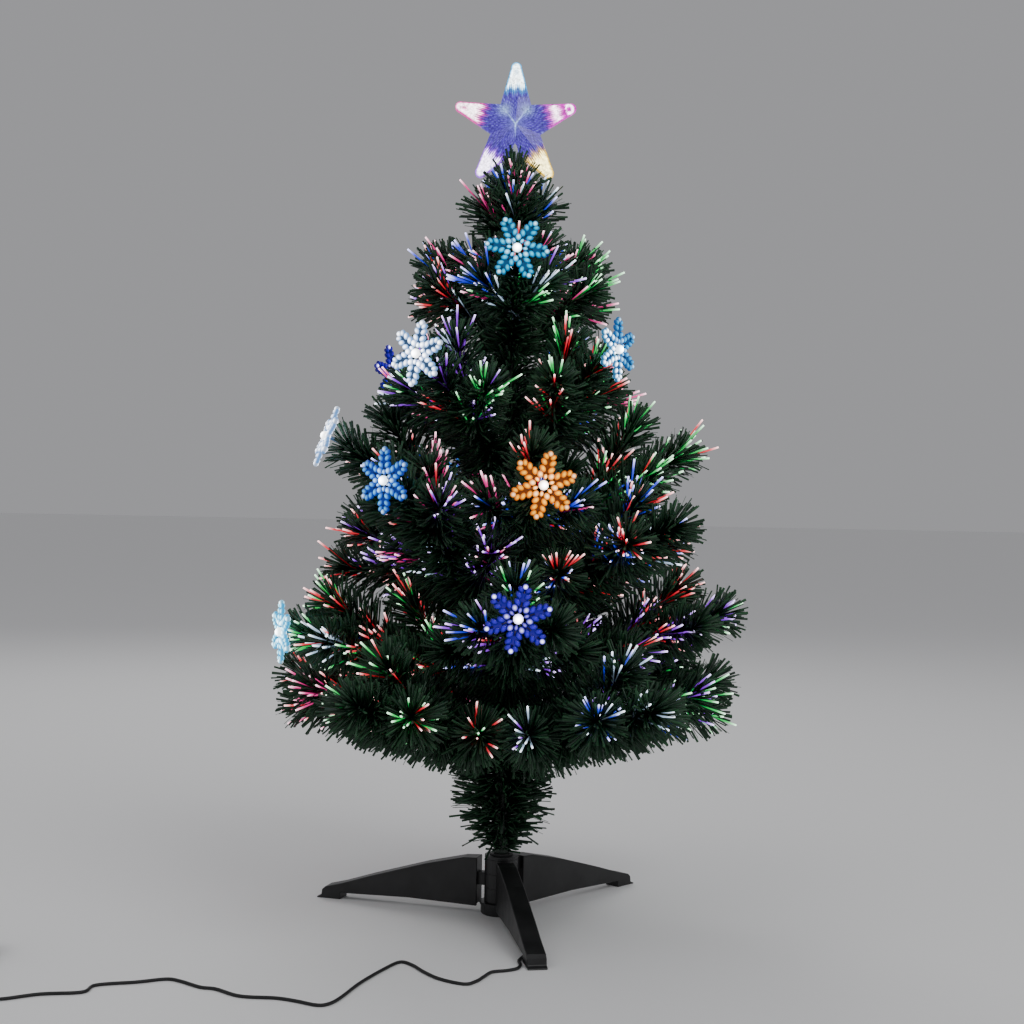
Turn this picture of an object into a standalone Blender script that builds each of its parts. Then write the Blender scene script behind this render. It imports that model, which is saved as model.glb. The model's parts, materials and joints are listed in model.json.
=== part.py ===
"""Fibre-optic tinsel tree with lit snowflakes and a star, on a three-legged plastic stand.

Metres, +Z up. The origin is on the pole's axis at floor level, under the lamp cover, and the front
of the tree looks along -Y. Run with blender --background --python, or from the text editor.
"""

import math

import bmesh
import bpy
from mathutils import Euler, Matrix, Vector

# Units, and the values that every fit uses

MM = 0.001
CLEARANCE = 0.3 * MM
OVERRUN = 2.0 * MM
SMOOTH_ANGLE = math.radians(38)
FLAT_ANGLE = math.radians(0.5)
MERGE = 0.01 * MM

# The pole and its socket

POLE_RADIUS = 8.0 * MM
POLE_WALL = 1.2 * MM
POLE_HEAD = 30.0 * MM
TIP_ROD_RADIUS = 3.2 * MM
TIP_PLUG_DEPTH = 20.0 * MM
TIP_COLLAR_HEIGHT = 3.2 * MM
POLE_SIDES = 20

# The stand

SOCKET_WALL = 3.7 * MM
SOCKET_TOP = 64.0 * MM
SOCKET_LEDGE_HEIGHT = 14.5 * MM
LIGHT_PORT_RADIUS = 5.0 * MM
FLANGE_RADIUS = 22.0 * MM
FLANGE_BOTTOM = 10.0 * MM
FLANGE_THICKNESS = 2.5 * MM
KNUCKLE_WALL = 5.2 * MM
CAP_HEIGHT = 3.5 * MM
HUB_SIDES = 32

LEG_REACH = 206.5 * MM
LEG_ROOT_RADIUS = 24.0 * MM
LEG_TOP = 58.0 * MM
LEG_WIDTH = 19.0 * MM
LEG_WALL = 2.0 * MM
LEG_RIB = 1.6 * MM
LEG_POCKETS = 5
LEG_EDGE_ROUND = 1.2 * MM
LEG_LINK_WIDTH = 10.0 * MM
LEG_LINK_INSET = 0.8 * MM
LEG_ARCH_HEIGHT = 9.0 * MM
LEG_FOOT_LENGTH = 27.5 * MM
LEG_FOOT_STEP = 7.0 * MM
LEG_TOE_LENGTH = 5.0 * MM
LEG_TOE_HEIGHT = 3.0 * MM
LEG_TOE_THICKNESS = 1.2 * MM
CHANNEL_HEIGHT = 9.5 * MM
FRONT_LEG_AZIMUTH = math.radians(-80)
RIGHT_LEG_AZIMUTH = math.radians(45)
LEFT_LEG_AZIMUTH = math.radians(163.5)

# Along the leg, from its root to the heel of its foot, and its top line there
LEG_TOP_LINE_SHARES = ((0.0, 1.0), (0.09, 0.985), (0.33, 0.81), (0.5, 0.655), (0.68, 0.49), (0.87, 0.30))
LEG_TOE_CORNER_SHARES = ((0.975, 0.215), (0.995, 0.16))

# The lamp under the pole

COVER_RADIUS = 21.0 * MM
COVER_WALL = 1.6 * MM
COVER_FOOT_ROUND = 1.0 * MM
BOARD_THICKNESS = 1.2 * MM
BOARD_MARGIN = 2.1 * MM
EMITTER_RADIUS = 4.0 * MM
EMITTER_HEIGHT = 4.8 * MM
FERRULE_LENGTH = 20.0 * MM
FERRULE_WALL = 1.8 * MM
BUNDLE_TOP_SHARE = 0.7

# The supply cord and its power adaptor

CORD_DIAMETER = 3.0 * MM
CORD_POINT_COUNT = 80
RELIEF_HEIGHT = 4.6 * MM
RELIEF_RADIUS = 2.6 * MM
RELIEF_FLANGE = 0.5 * MM
RELIEF_FLANGE_THICKNESS = 1.5 * MM
RELIEF_LENGTH = 13.0 * MM
RELIEF_TAPER = 0.6 * MM
RELIEF_GROOVES = 3
RELIEF_GROOVE_DEPTH = 0.4 * MM

COIL_CENTRE = (-470.0 * MM, -297.2 * MM)
COIL_OUTER_RADIUS = 22.9 * MM
COIL_STEP = 3.6 * MM
COIL_LAYER_TURNS = 2.625
COIL_POINTS_PER_TURN = 24
COIL_TAIL_LENGTH = 59.0 * MM
COIL_TAIL_SHARES = (0.25, 0.45, 0.65, 0.8, 0.93, 1.0)

ADAPTOR_WIDTH = 36.0 * MM
ADAPTOR_LENGTH = 58.0 * MM
ADAPTOR_HEIGHT = 26.0 * MM
ADAPTOR_ROUND = 3.0 * MM
ADAPTOR_BOSS_LENGTH = 14.0 * MM
ADAPTOR_BOSS_RADIUS = 4.0 * MM
PIN_RADIUS = 2.0 * MM
PIN_LENGTH = 19.0 * MM
PIN_SPACING = 18.6 * MM
PIN_OFFSET_SHARE = 0.18

# The foliage

STEM_ROOT_RADIUS = 2.2 * MM
STEM_TIP_RADIUS = 1.3 * MM
KNUCKLE_LENGTH = 5.0 * MM
NEEDLE_LENGTH = 38.0 * MM
NEEDLE_BASE = 3.4 * MM
NEEDLE_LEAN = math.radians(36)
LAST_RING_SHARE = 0.86
TWIG_RING_SHARE = 0.72
TWIG_NEEDLE_LENGTH = 28.0 * MM
TWIG_TIP_NEEDLE = 14.0 * MM
LOWEST_BRANCH = 175.0 * MM
TIER_SPACING = 69.3 * MM
WIDEST_REACH = 235.0 * MM
FLAKE_STAND_OFF = 14.0 * MM
FLAKE_BARE_STEM = 32.0 * MM

# How high each tier is over the lowest, as a share of the spacing
TIER_HEIGHT_SHARES = (0.0, 1.0, 2.0, 3.024, 4.192, 5.988)

# Twigs, by ring from the root: the ring's place along its branch, then each twig's slants sideways and
# upwards in degrees and its length, in shares of the branch's
LONG_TWIG_SHARES = (
    (0.24, ((45, 0, 0.40), (-45, 0, 0.40))),
    (0.44, ((0, 24, 0.46),)),
    (0.64, ((38, 0, 0.27), (-38, 0, 0.27))),
)
MIDDLE_TWIG_SHARES = ((0.42, ((38, 0, 0.40), (-38, 0, 0.40), (0, 30, 0.50))),)
UPPER_TWIG_SHARES = ((0.42, ((42, 0, 0.42), (-42, 0, 0.42), (0, 30, 0.50), (0, -32, 0.42))),)
TOP_TWIG_SHARES = ((0.42, ((42, 0, 0.42), (-42, 0, 0.42), (0, 12, 0.55), (0, -32, 0.42))),)

GARLAND_FOOT_GAP = 2.0 * MM
GARLAND_HEAD_GAP = 11.0 * MM
GARLAND_SLEEVE_WALL = 2.4 * MM
GARLAND_RADIUS = 50.0 * MM
GARLAND_SIDES = 7
GARLAND_LEAN = math.radians(8)
GARLAND_RING_SHARES = (0.06, 0.26, 0.46, 0.67, 0.88)
GARLAND_REACH_SHARES = (0.42, 0.74, 0.95, 1.0, 0.95)
GARLAND_LEAN_SHARES = (1.0, 1.0, 1.0, 1.0, 1.0)

CROWN_FOOT_GAP = 13.5 * MM
CROWN_HEIGHT = 135.0 * MM
CROWN_SLEEVE_WALL = 1.8 * MM
CROWN_SIDES = 6
CROWN_LEAN = math.radians(62)
CROWN_RING_SHARES = (0.05, 0.21, 0.37, 0.53, 0.71, 0.93)
CROWN_REACH_SHARES = (0.95, 0.95, 0.90, 0.86, 0.86, 0.90)
CROWN_LEAN_SHARES = (0.50, 0.52, 0.56, 0.64, 0.80, 1.0)
CROWN_NEEDLE_LENGTH = 38.0 * MM

# The snowflakes

FLAKE_RADIUS = 33.0 * MM
FLAKE_THICKNESS = 2.4 * MM
FLAKE_VALLEY_RADIUS = 12.0 * MM
FLAKE_LAMP_RADIUS = 5.0 * MM
FLAKE_LAMP_HEIGHT = 5.0 * MM
FLAKE_STEM_RADIUS = 1.6 * MM
FLAKE_BALL_RADIUS = 2.2 * MM
FLAKE_BEAD_RADIUS = 2.9 * MM
FLAKE_ARMS = 6

# Each pair of lobes on an arm: where it is widest and its half width there, then the same of the notch
# behind it, in shares of the radius
FLAKE_LOBE_SHARES = (
    (0.46, 0.245, 0.54, 0.175),
    (0.65, 0.235, 0.725, 0.15),
    (0.81, 0.19, 0.875, 0.095),
)

# The star

STAR_RADIUS = 67.0 * MM
STAR_INNER_RADIUS = 27.5 * MM
STAR_TIP_WIDTH = 11.0 * MM
STAR_TIP_STEPS = 4
STAR_RIM = 2.5 * MM
STAR_RIDGE = 8.0 * MM
STAR_WALL = 1.6 * MM
STAR_ARMS = 5
STAR_BOARD_THICKNESS = 1.2 * MM
STAR_LAMP_RADIUS = 2.2 * MM
STAR_LAMP_HEIGHT = 1.7 * MM
STAR_LAMP_SHARE = 0.72
STAR_SOCKET_WALL = 1.5 * MM
STAR_SOCKET_GAP = 6.0 * MM
STAR_SOCKET_LENGTH = 37.0 * MM
STAR_SOCKET_ROOF = 5.7 * MM
STAR_CENTRE_LIFT = 18.0 * MM


# Values that follow from those above

SOCKET_RADIUS = POLE_RADIUS + CLEARANCE
SOCKET_OUTER_RADIUS = SOCKET_RADIUS + SOCKET_WALL
FLANGE_TOP = FLANGE_BOTTOM + FLANGE_THICKNESS
KNUCKLE_RADIUS = SOCKET_OUTER_RADIUS + CLEARANCE + KNUCKLE_WALL
KNUCKLE_HEIGHT = (LEG_TOP - FLANGE_TOP) / 3 - CLEARANCE
POLE_BOTTOM = SOCKET_LEDGE_HEIGHT + CLEARANCE
POLE_BORE = POLE_RADIUS - POLE_WALL
COVER_TOP = FLANGE_BOTTOM - CLEARANCE
BOARD_BOTTOM = COVER_WALL + CLEARANCE
CORD_RADIUS = CORD_DIAMETER / 2
CORD_LIE = CORD_RADIUS + CLEARANCE / 3
RELIEF_MOUTH = COVER_RADIUS + RELIEF_FLANGE_THICKNESS + RELIEF_LENGTH
STEM_ROOT_HALF = STEM_ROOT_RADIUS * math.cos(math.radians(45))
KNUCKLE_SWEEP = math.hypot(KNUCKLE_LENGTH / 2, STEM_ROOT_HALF)
HINGE_RADIUS = POLE_RADIUS + CLEARANCE + KNUCKLE_SWEEP
TOP_LINE_SPAN = LEG_REACH - LEG_TOE_LENGTH - LEG_ROOT_RADIUS
GARLAND_BOTTOM = SOCKET_TOP + GARLAND_FOOT_GAP
GARLAND_TOP = LOWEST_BRANCH - GARLAND_HEAD_GAP
POLE_TOP = LOWEST_BRANCH + TIER_HEIGHT_SHARES[-1] * TIER_SPACING + POLE_HEAD
TIP_COLLAR_TOP = POLE_TOP + CLEARANCE + TIP_COLLAR_HEIGHT
CROWN_BOTTOM = TIP_COLLAR_TOP + CROWN_FOOT_GAP
CROWN_TOP = CROWN_BOTTOM + CROWN_HEIGHT
STAR_SOCKET_BOTTOM = CROWN_TOP + STAR_SOCKET_GAP
STAR_SOCKET_TOP = STAR_SOCKET_BOTTOM + STAR_SOCKET_LENGTH
TIP_ROD_TOP = STAR_SOCKET_TOP - STAR_SOCKET_ROOF - CLEARANCE
STAR_CENTRE_HEIGHT = STAR_SOCKET_TOP + STAR_CENTRE_LIFT

# The route of the cord, from the strain relief to the coil: each place and height, in millimetres
CORD_ROUTE_MM = (
    (6.2, -35.3, 4.6), (7.3, -41.5, 4.2), (9.2, -52.0, 2.5), (12.0, -66.0, 1.6), (16.5, -86.0, 1.6),
    (19.0, -106.0, 1.6), (22.0, -127.0, 1.6), (25.0, -145.0, 1.6), (23.0, -163.0, 1.6),
    (18.4, -178.5, 1.6), (19.6, -191.0, 1.6), (17.0, -203.0, 1.6), (7.0, -210.5, 1.6),
    (-6.6, -216.1, 1.6), (-14.0, -231.0, 1.6), (-20.6, -245.0, 1.6), (-31.2, -253.4, 1.6),
    (-53.3, -240.1, 1.6), (-68.8, -220.0, 1.6), (-81.0, -199.0, 1.6), (-92.9, -190.4, 1.6),
    (-106.0, -213.2, 1.6), (-124.0, -256.3, 1.6), (-137.1, -299.4, 1.6), (-145.5, -316.1, 1.6),
    (-155.4, -319.3, 1.6), (-173.7, -309.7, 1.6), (-191.9, -302.7, 1.6), (-223.6, -299.2, 1.6),
    (-247.8, -281.2, 1.6), (-262.7, -276.5, 1.6), (-283.7, -260.5, 1.6), (-297.3, -255.5, 1.6),
    (-321.6, -265.8, 1.6), (-354.2, -276.4, 1.6), (-360.9, -296.5, 1.6), (-395.0, -304.1, 1.6),
    (-424.3, -319.5, 1.6), (-447.0, -320.1, 1.6), (-466.7, -320.1, 1.6),
)


# Scene helpers


def clear_scene():
    """Removes what the scene holds and gives the two collections."""
    for obj in list(bpy.data.objects):
        bpy.data.objects.remove(obj, do_unlink=True)
    groups = []
    for title in ("LED christmas tree", "Cutters"):
        group = bpy.data.collections.new(title)
        bpy.context.scene.collection.children.link(group)
        groups.append(group)
    return groups


PARTS, CUTTERS = clear_scene()


def material(name, colour, roughness, metallic=0.0, glow=0.0):
    """A Principled material."""
    made = bpy.data.materials.new(name)
    made.use_nodes = True
    shader = made.node_tree.nodes["Principled BSDF"]
    shader.inputs["Base Color"].default_value = (*colour, 1.0)
    shader.inputs["Roughness"].default_value = roughness
    shader.inputs["Metallic"].default_value = metallic
    shader.inputs["Emission Color"].default_value = (*colour, 1.0)
    shader.inputs["Emission Strength"].default_value = glow
    made.diffuse_color = (*colour, 1.0)
    return made


BLACK_PLASTIC = ((0.012, 0.012, 0.013), 0.42)
GREEN_TINSEL = ((0.010, 0.045, 0.018), 0.55)


def linked(name, data, group=None):
    """A new object with this mesh or curve, in the parts' collection unless another is given."""
    obj = bpy.data.objects.new(name, data)
    (group or PARTS).objects.link(obj)
    return obj


def finished(obj, colour, roughness, metallic=0.0, glow=0.0):
    """Gives a part its own material and smooth shading with sharp edges."""
    obj.data.materials.clear()
    obj.data.materials.append(material(obj.name, colour, roughness, metallic, glow))
    if obj.type == "MESH":
        obj.data.shade_smooth()
        obj.data.set_sharp_from_angle(angle=SMOOTH_ANGLE)
    return obj


def baked(obj):
    """The object as one plain mesh: its curve or modifiers evaluated and its caps welded."""
    bpy.context.view_layer.update()
    graph = bpy.context.evaluated_depsgraph_get()
    mesh = bpy.data.meshes.new_from_object(obj.evaluated_get(graph))
    bm = bmesh.new()
    bm.from_mesh(mesh)
    bmesh.ops.remove_doubles(bm, verts=bm.verts, dist=MERGE)
    bm.to_mesh(mesh)
    bm.free()
    name = obj.name
    group = obj.users_collection[0]
    matrix = obj.matrix_world.copy()
    bpy.data.objects.remove(obj, do_unlink=True)
    plain = linked(name, mesh, group)
    plain.matrix_world = matrix
    return plain


def combine(obj, tool, operation):
    """A Boolean with another object, which is kept as a hidden guide."""
    for group in list(tool.users_collection):
        group.objects.unlink(tool)
    CUTTERS.objects.link(tool)
    tool.hide_render = True
    tool.display_type = "WIRE"
    step = obj.modifiers.new(tool.name, "BOOLEAN")
    step.operation = operation
    step.object = tool
    step.solver = "EXACT"
    return obj


def cut(obj, tool):
    return combine(obj, tool, "DIFFERENCE")


def join(obj, tool):
    return combine(obj, tool, "UNION")


def turned(name, profile, sides, closed=False, group=None):
    """Turns a profile of (radius, height) points about local Z. Its outer side runs downwards."""
    mesh = bpy.data.meshes.new(name)
    obj = linked(name, mesh, group)
    bm = bmesh.new()
    verts = [bm.verts.new((radius, 0.0, height)) for radius, height in profile]
    for start, end in zip(verts, verts[1:]):
        bm.edges.new((start, end))
    if closed:
        bm.edges.new((verts[-1], verts[0]))
    bm.to_mesh(mesh)
    bm.free()
    screw = obj.modifiers.new("turn", "SCREW")
    screw.steps = sides
    screw.render_steps = sides
    screw.use_merge_vertices = True
    screw.merge_threshold = MERGE
    return obj


def ring(inner, outer, bottom, top):
    """The closed profile of a plain tube."""
    return ((outer, top), (outer, bottom), (inner, bottom), (inner, top))


def flat(name, outlines, thickness, group=None):
    """Flat outlines in local X and Y, filled and made this thick about their plane, as a mesh."""
    curve = bpy.data.curves.new(name, "CURVE")
    curve.dimensions = "2D"
    curve.fill_mode = "BOTH"
    curve.extrude = thickness / 2
    for outline in outlines:
        spline = curve.splines.new("POLY")
        spline.points.add(len(outline) - 1)
        for point, (x, y) in zip(spline.points, outline):
            point.co = (x, y, 0.0, 1.0)
        spline.use_cyclic_u = True
    return baked(linked(name, curve, group))


def tube(name, points, diameter, resolution):
    """A round tube along the points, with filled caps."""
    curve = bpy.data.curves.new(name, "CURVE")
    curve.dimensions = "3D"
    curve.bevel_depth = diameter / 2
    curve.bevel_resolution = resolution
    curve.use_fill_caps = True
    spline = curve.splines.new("POLY")
    spline.points.add(len(points) - 1)
    for point, place in zip(spline.points, points):
        point.co = (*place, 1.0)
    return linked(name, curve)


def block(name, low, high, group=None):
    """A box between two corners."""
    mesh = bpy.data.meshes.new(name)
    bm = bmesh.new()
    bmesh.ops.create_cube(bm, size=1.0)
    for vert in bm.verts:
        vert.co = Vector(
            high[i] if vert.co[i] > 0 else low[i] for i in range(3)
        )
    bm.to_mesh(mesh)
    bm.free()
    return linked(name, mesh, group)


def outward(azimuth, radius, height=0.0):
    """The point at this distance from the pole's axis, in this direction."""
    return Vector((radius * math.cos(azimuth), radius * math.sin(azimuth), height))


# Stand


def make_hub():
    """The socket tube with its ledge for the pole and the flange that carries the legs' knuckles."""
    profile = (
        (SOCKET_OUTER_RADIUS, SOCKET_TOP),
        (SOCKET_OUTER_RADIUS, FLANGE_TOP),
        (FLANGE_RADIUS, FLANGE_TOP),
        (FLANGE_RADIUS, FLANGE_BOTTOM),
        (LIGHT_PORT_RADIUS, FLANGE_BOTTOM),
        (LIGHT_PORT_RADIUS, SOCKET_LEDGE_HEIGHT),
        (SOCKET_RADIUS, SOCKET_LEDGE_HEIGHT),
        (SOCKET_RADIUS, SOCKET_TOP),
    )
    finished(turned("stand_hub", profile, HUB_SIDES, closed=True), *BLACK_PLASTIC)
    bottom = LEG_TOP + CLEARANCE
    inner = SOCKET_OUTER_RADIUS + CLEARANCE
    profile = ring(inner, KNUCKLE_RADIUS, bottom, bottom + CAP_HEIGHT)
    finished(turned("hub_cap", profile, HUB_SIDES, closed=True), *BLACK_PLASTIC)


def leg_top_at(radius):
    """The height of a leg's top line at this distance from the axis."""
    share = (radius - LEG_ROOT_RADIUS) / TOP_LINE_SPAN
    line = LEG_TOP_LINE_SHARES + LEG_TOE_CORNER_SHARES
    for (start, high), (end, low) in zip(line, line[1:]):
        if share <= end:
            return LEG_TOP * (high + (low - high) * (share - start) / (end - start))
    return LEG_TOP * line[-1][1]


def leg_outline():
    """A leg seen from the side: distance from the axis, and height."""
    heel = LEG_REACH - LEG_FOOT_LENGTH
    toe = LEG_REACH - LEG_TOE_LENGTH
    middle = (LEG_ROOT_RADIUS + heel) / 2
    top = [
        (LEG_ROOT_RADIUS + share * TOP_LINE_SPAN, LEG_TOP * high)
        for share, high in LEG_TOP_LINE_SHARES + LEG_TOE_CORNER_SHARES
    ]
    return top + [
        (toe, LEG_TOE_HEIGHT),
        (LEG_REACH, LEG_TOE_THICKNESS),
        (LEG_REACH, 0.0),
        (heel, 0.0),
        (heel, LEG_FOOT_STEP),
        (middle, LEG_ARCH_HEIGHT),
        (LEG_ROOT_RADIUS, LEG_FOOT_STEP),
    ]


def leg_hollow():
    """The hollow under a leg, seen from the side: a channel along it, and pockets between its ribs."""
    start = LEG_ROOT_RADIUS + LEG_WALL
    end = LEG_REACH - LEG_FOOT_LENGTH - LEG_WALL
    length = (end - start - (LEG_POCKETS - 1) * LEG_RIB) / LEG_POCKETS
    near = LEG_ROOT_RADIUS - OVERRUN
    outline = [(near, -OVERRUN), (near, CHANNEL_HEIGHT)]
    for i in range(LEG_POCKETS):
        near = start + i * (length + LEG_RIB)
        far = near + length
        outline += [
            (near, CHANNEL_HEIGHT),
            (near, leg_top_at(near) - LEG_WALL),
            (far, leg_top_at(far) - LEG_WALL),
            (far, CHANNEL_HEIGHT),
        ]
    return outline[:-1] + [(end, -OVERRUN)]


def side_view(obj):
    """Stands a flat outline up: its X stays radial and its Y becomes height."""
    obj.data.transform(Matrix.Rotation(math.radians(90), 4, "X"))
    return obj


def make_leg(name, azimuth, level):
    """One hollow ribbed leg, which turns about the hub on a knuckle at its own level."""
    leg = side_view(flat(name, [leg_outline()], LEG_WIDTH))
    edges = leg.modifiers.new("edges", "BEVEL")
    edges.width = LEG_EDGE_ROUND
    edges.segments = 1
    edges.limit_method = "ANGLE"
    edges.angle_limit = math.radians(60)
    inner_width = LEG_WIDTH - 2 * LEG_WALL
    cut(leg, side_view(flat(name + "_hollow", [leg_hollow()], inner_width, CUTTERS)))
    bottom = FLANGE_TOP + CLEARANCE + level * (KNUCKLE_HEIGHT + CLEARANCE)
    top = bottom + KNUCKLE_HEIGHT
    profile = ring(SOCKET_OUTER_RADIUS + CLEARANCE, KNUCKLE_RADIUS, bottom, top)
    knuckle = turned(name + "_knuckle", profile, HUB_SIDES, closed=True, group=CUTTERS)
    half = LEG_LINK_WIDTH / 2
    low = (KNUCKLE_RADIUS - KNUCKLE_WALL / 2, -half, bottom + LEG_LINK_INSET)
    high = (LEG_ROOT_RADIUS + LEG_WALL / 2, half, top - LEG_LINK_INSET)
    join(leg, block(name + "_link", low, high, CUTTERS))
    join(leg, baked(knuckle))
    leg = baked(leg)
    leg.rotation_euler.z = azimuth
    finished(leg, *BLACK_PLASTIC)


def make_lamp():
    """The cover under the hub, the board and its emitter, and the light guide in the pole."""
    cover = turned(
        "lamp_cover",
        (
            (0.0, COVER_WALL),
            (COVER_RADIUS - COVER_WALL, COVER_WALL),
            (COVER_RADIUS - COVER_WALL, COVER_TOP),
            (COVER_RADIUS, COVER_TOP),
            (COVER_RADIUS, COVER_FOOT_ROUND),
            (COVER_RADIUS - COVER_FOOT_ROUND, 0.0),
            (0.0, 0.0),
        ),
        HUB_SIDES,
    )
    hole = turned(
        "relief_hole",
        (
            (0.0, COVER_RADIUS + OVERRUN),
            (RELIEF_RADIUS + CLEARANCE, COVER_RADIUS + OVERRUN),
            (RELIEF_RADIUS + CLEARANCE, COVER_RADIUS - COVER_WALL - OVERRUN),
            (0.0, COVER_RADIUS - COVER_WALL - OVERRUN),
        ),
        HUB_SIDES // 2,
    )
    place_relief(hole)
    cut(cover, hole)
    finished(cover, *BLACK_PLASTIC)
    board_radius = COVER_RADIUS - COVER_WALL - BOARD_MARGIN
    top = BOARD_BOTTOM + BOARD_THICKNESS
    profile = ((0.0, top), (board_radius, top), (board_radius, BOARD_BOTTOM), (0.0, BOARD_BOTTOM))
    finished(turned("led_board", profile, HUB_SIDES), (0.75, 0.76, 0.74), 0.4)
    base = top + CLEARANCE
    shoulder = base + EMITTER_HEIGHT - EMITTER_RADIUS / 2
    emitter = turned(
        "led_emitter",
        (
            (0.0, base + EMITTER_HEIGHT),
            (EMITTER_RADIUS / 2, base + EMITTER_HEIGHT - EMITTER_RADIUS / 8),
            (EMITTER_RADIUS, shoulder),
            (EMITTER_RADIUS, base),
            (0.0, base),
        ),
        HUB_SIDES // 2,
    )
    finished(emitter, (0.9, 0.92, 1.0), 0.1, glow=1.0)


def make_light_guide():
    """The ferrule at the pole's foot and the bundle of fibres that rises from it."""
    outer = POLE_BORE - CLEARANCE
    inner = outer - FERRULE_WALL
    ferrule_top = POLE_BOTTOM + FERRULE_LENGTH
    ferrule = turned("fibre_ferrule", ring(inner, outer, POLE_BOTTOM, ferrule_top), POLE_SIDES, closed=True)
    finished(ferrule, (0.75, 0.75, 0.76), 0.35, 0.9)
    radius = inner - CLEARANCE
    top = POLE_TOP - TIP_PLUG_DEPTH - CLEARANCE
    profile = (
        (0.0, top),
        (radius * BUNDLE_TOP_SHARE, top),
        (radius, ferrule_top),
        (radius, POLE_BOTTOM),
        (0.0, POLE_BOTTOM),
    )
    finished(turned("fibre_bundle", profile, POLE_SIDES), (0.85, 0.88, 0.95), 0.1)


def make_pole():
    """The tube that carries the tree, and the rod in its top for the crown and the star."""
    profile = ring(POLE_BORE, POLE_RADIUS, POLE_BOTTOM, POLE_TOP)
    finished(turned("pole", profile, POLE_SIDES, closed=True), (0.01, 0.03, 0.014), 0.5)
    plug = POLE_BORE - CLEARANCE
    tip = turned(
        "pole_tip",
        (
            (0.0, TIP_ROD_TOP),
            (TIP_ROD_RADIUS, TIP_ROD_TOP),
            (TIP_ROD_RADIUS, TIP_COLLAR_TOP),
            (POLE_RADIUS, TIP_COLLAR_TOP),
            (POLE_RADIUS, POLE_TOP + CLEARANCE),
            (plug, POLE_TOP + CLEARANCE),
            (plug, POLE_TOP - TIP_PLUG_DEPTH),
            (0.0, POLE_TOP - TIP_PLUG_DEPTH),
        ),
        POLE_SIDES,
    )
    finished(tip, (0.01, 0.03, 0.014), 0.5)


# Supply cord


def place_relief(obj):
    """Lays a shape turned about Z along the front leg, at the height of the cord's exit."""
    obj.rotation_euler = (0.0, math.radians(90), FRONT_LEG_AZIMUTH)
    obj.location.z = RELIEF_HEIGHT


def make_strain_relief():
    """The bush in the lamp cover's side, flanged outside and grooved along its taper."""
    inside = COVER_RADIUS - COVER_WALL - RELIEF_FLANGE_THICKNESS / 2
    flange = COVER_RADIUS + CLEARANCE
    neck = flange + RELIEF_FLANGE_THICKNESS
    profile = [(0.0, RELIEF_MOUTH)]
    pitch = (RELIEF_MOUTH - neck) / (2 * RELIEF_GROOVES + 1)
    for i in range(2 * RELIEF_GROOVES + 1):
        place = RELIEF_MOUTH - i * pitch
        radius = RELIEF_RADIUS - RELIEF_TAPER * (1 - i / (2 * RELIEF_GROOVES + 1))
        radius -= RELIEF_GROOVE_DEPTH * (i % 2)
        profile += [(radius, place), (radius, place - pitch)]
    profile += [
        (RELIEF_RADIUS + RELIEF_FLANGE, neck),
        (RELIEF_RADIUS + RELIEF_FLANGE, flange),
        (RELIEF_RADIUS, flange),
        (RELIEF_RADIUS, inside),
        (0.0, inside),
    ]
    relief = turned("strain_relief", profile, HUB_SIDES // 2)
    place_relief(relief)
    finished(relief, (0.012, 0.012, 0.013), 0.6)


def smooth_through(points, steps=24):
    """A Catmull-Rom curve through the points, as many short steps."""
    ends = [2 * points[0] - points[1]] + points + [2 * points[-1] - points[-2]]
    line = []
    for before, start, end, after in zip(ends, ends[1:], ends[2:], ends[3:]):
        for i in range(steps):
            t = i / steps
            line.append(
                0.5
                * (
                    2 * start
                    + (end - before) * t
                    + (2 * before - 5 * start + 4 * end - after) * t**2
                    + (3 * start - before - 3 * end + after) * t**3
                )
            )
    return line + [points[-1]]


def evenly(line, count):
    """This many points, evenly spaced along a line of many short steps, and its length."""
    lengths = [0.0]
    for start, end in zip(line, line[1:]):
        lengths.append(lengths[-1] + (end - start).length)
    places = []
    at = 0
    for i in range(count):
        goal = lengths[-1] * i / (count - 1)
        while at < len(lengths) - 2 and lengths[at + 1] < goal:
            at += 1
        share = (goal - lengths[at]) / (lengths[at + 1] - lengths[at])
        places.append(line[at].lerp(line[at + 1], min(1.0, share)))
    return places, lengths[-1]


def coil_points():
    """The wound stretch: in to the middle on the floor, out again on top, then on to the adaptor."""
    centre = Vector((*COIL_CENTRE, 0.0))
    turns = 2 * COIL_LAYER_TURNS
    count = round(turns * COIL_POINTS_PER_TURN)
    start = math.radians(-90)
    wound = []
    for i in range(count + 1):
        turn = turns * i / count
        inwards = min(turn, turns - turn)
        radius = COIL_OUTER_RADIUS - inwards * COIL_STEP
        climb = min(1.0, max(0.0, 2 * (turn - COIL_LAYER_TURNS) + 0.5))
        height = CORD_LIE + COIL_STEP * climb * climb * (3 - 2 * climb)
        wound.append(centre + outward(start - math.tau * turn, radius, height))
    lead = wound[0] + Vector((CORD_DIAMETER, 0.0, 0.0))
    last = wound[-1]
    rise = ADAPTOR_HEIGHT / 2 - last.z
    tail = []
    for share in COIL_TAIL_SHARES:
        ease = share * share * (3 - 2 * share)
        tail.append(last + Vector((0.0, COIL_TAIL_LENGTH * share, rise * ease)))
    return [lead] + wound + tail


def least_gap(points, diameter):
    """The least clearance of a wound tube to itself, measured on its points and the steps between."""
    least = math.inf
    skip = COIL_POINTS_PER_TURN // 2
    for i, start in enumerate(points[:-1]):
        for j in range(i + skip, len(points) - 1):
            along = points[j + 1] - points[j]
            offset = start - points[j]
            share = min(1.0, max(0.0, offset.dot(along) / along.length_squared))
            least = min(least, (offset - along * share).length)
    return least - diameter


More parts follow.
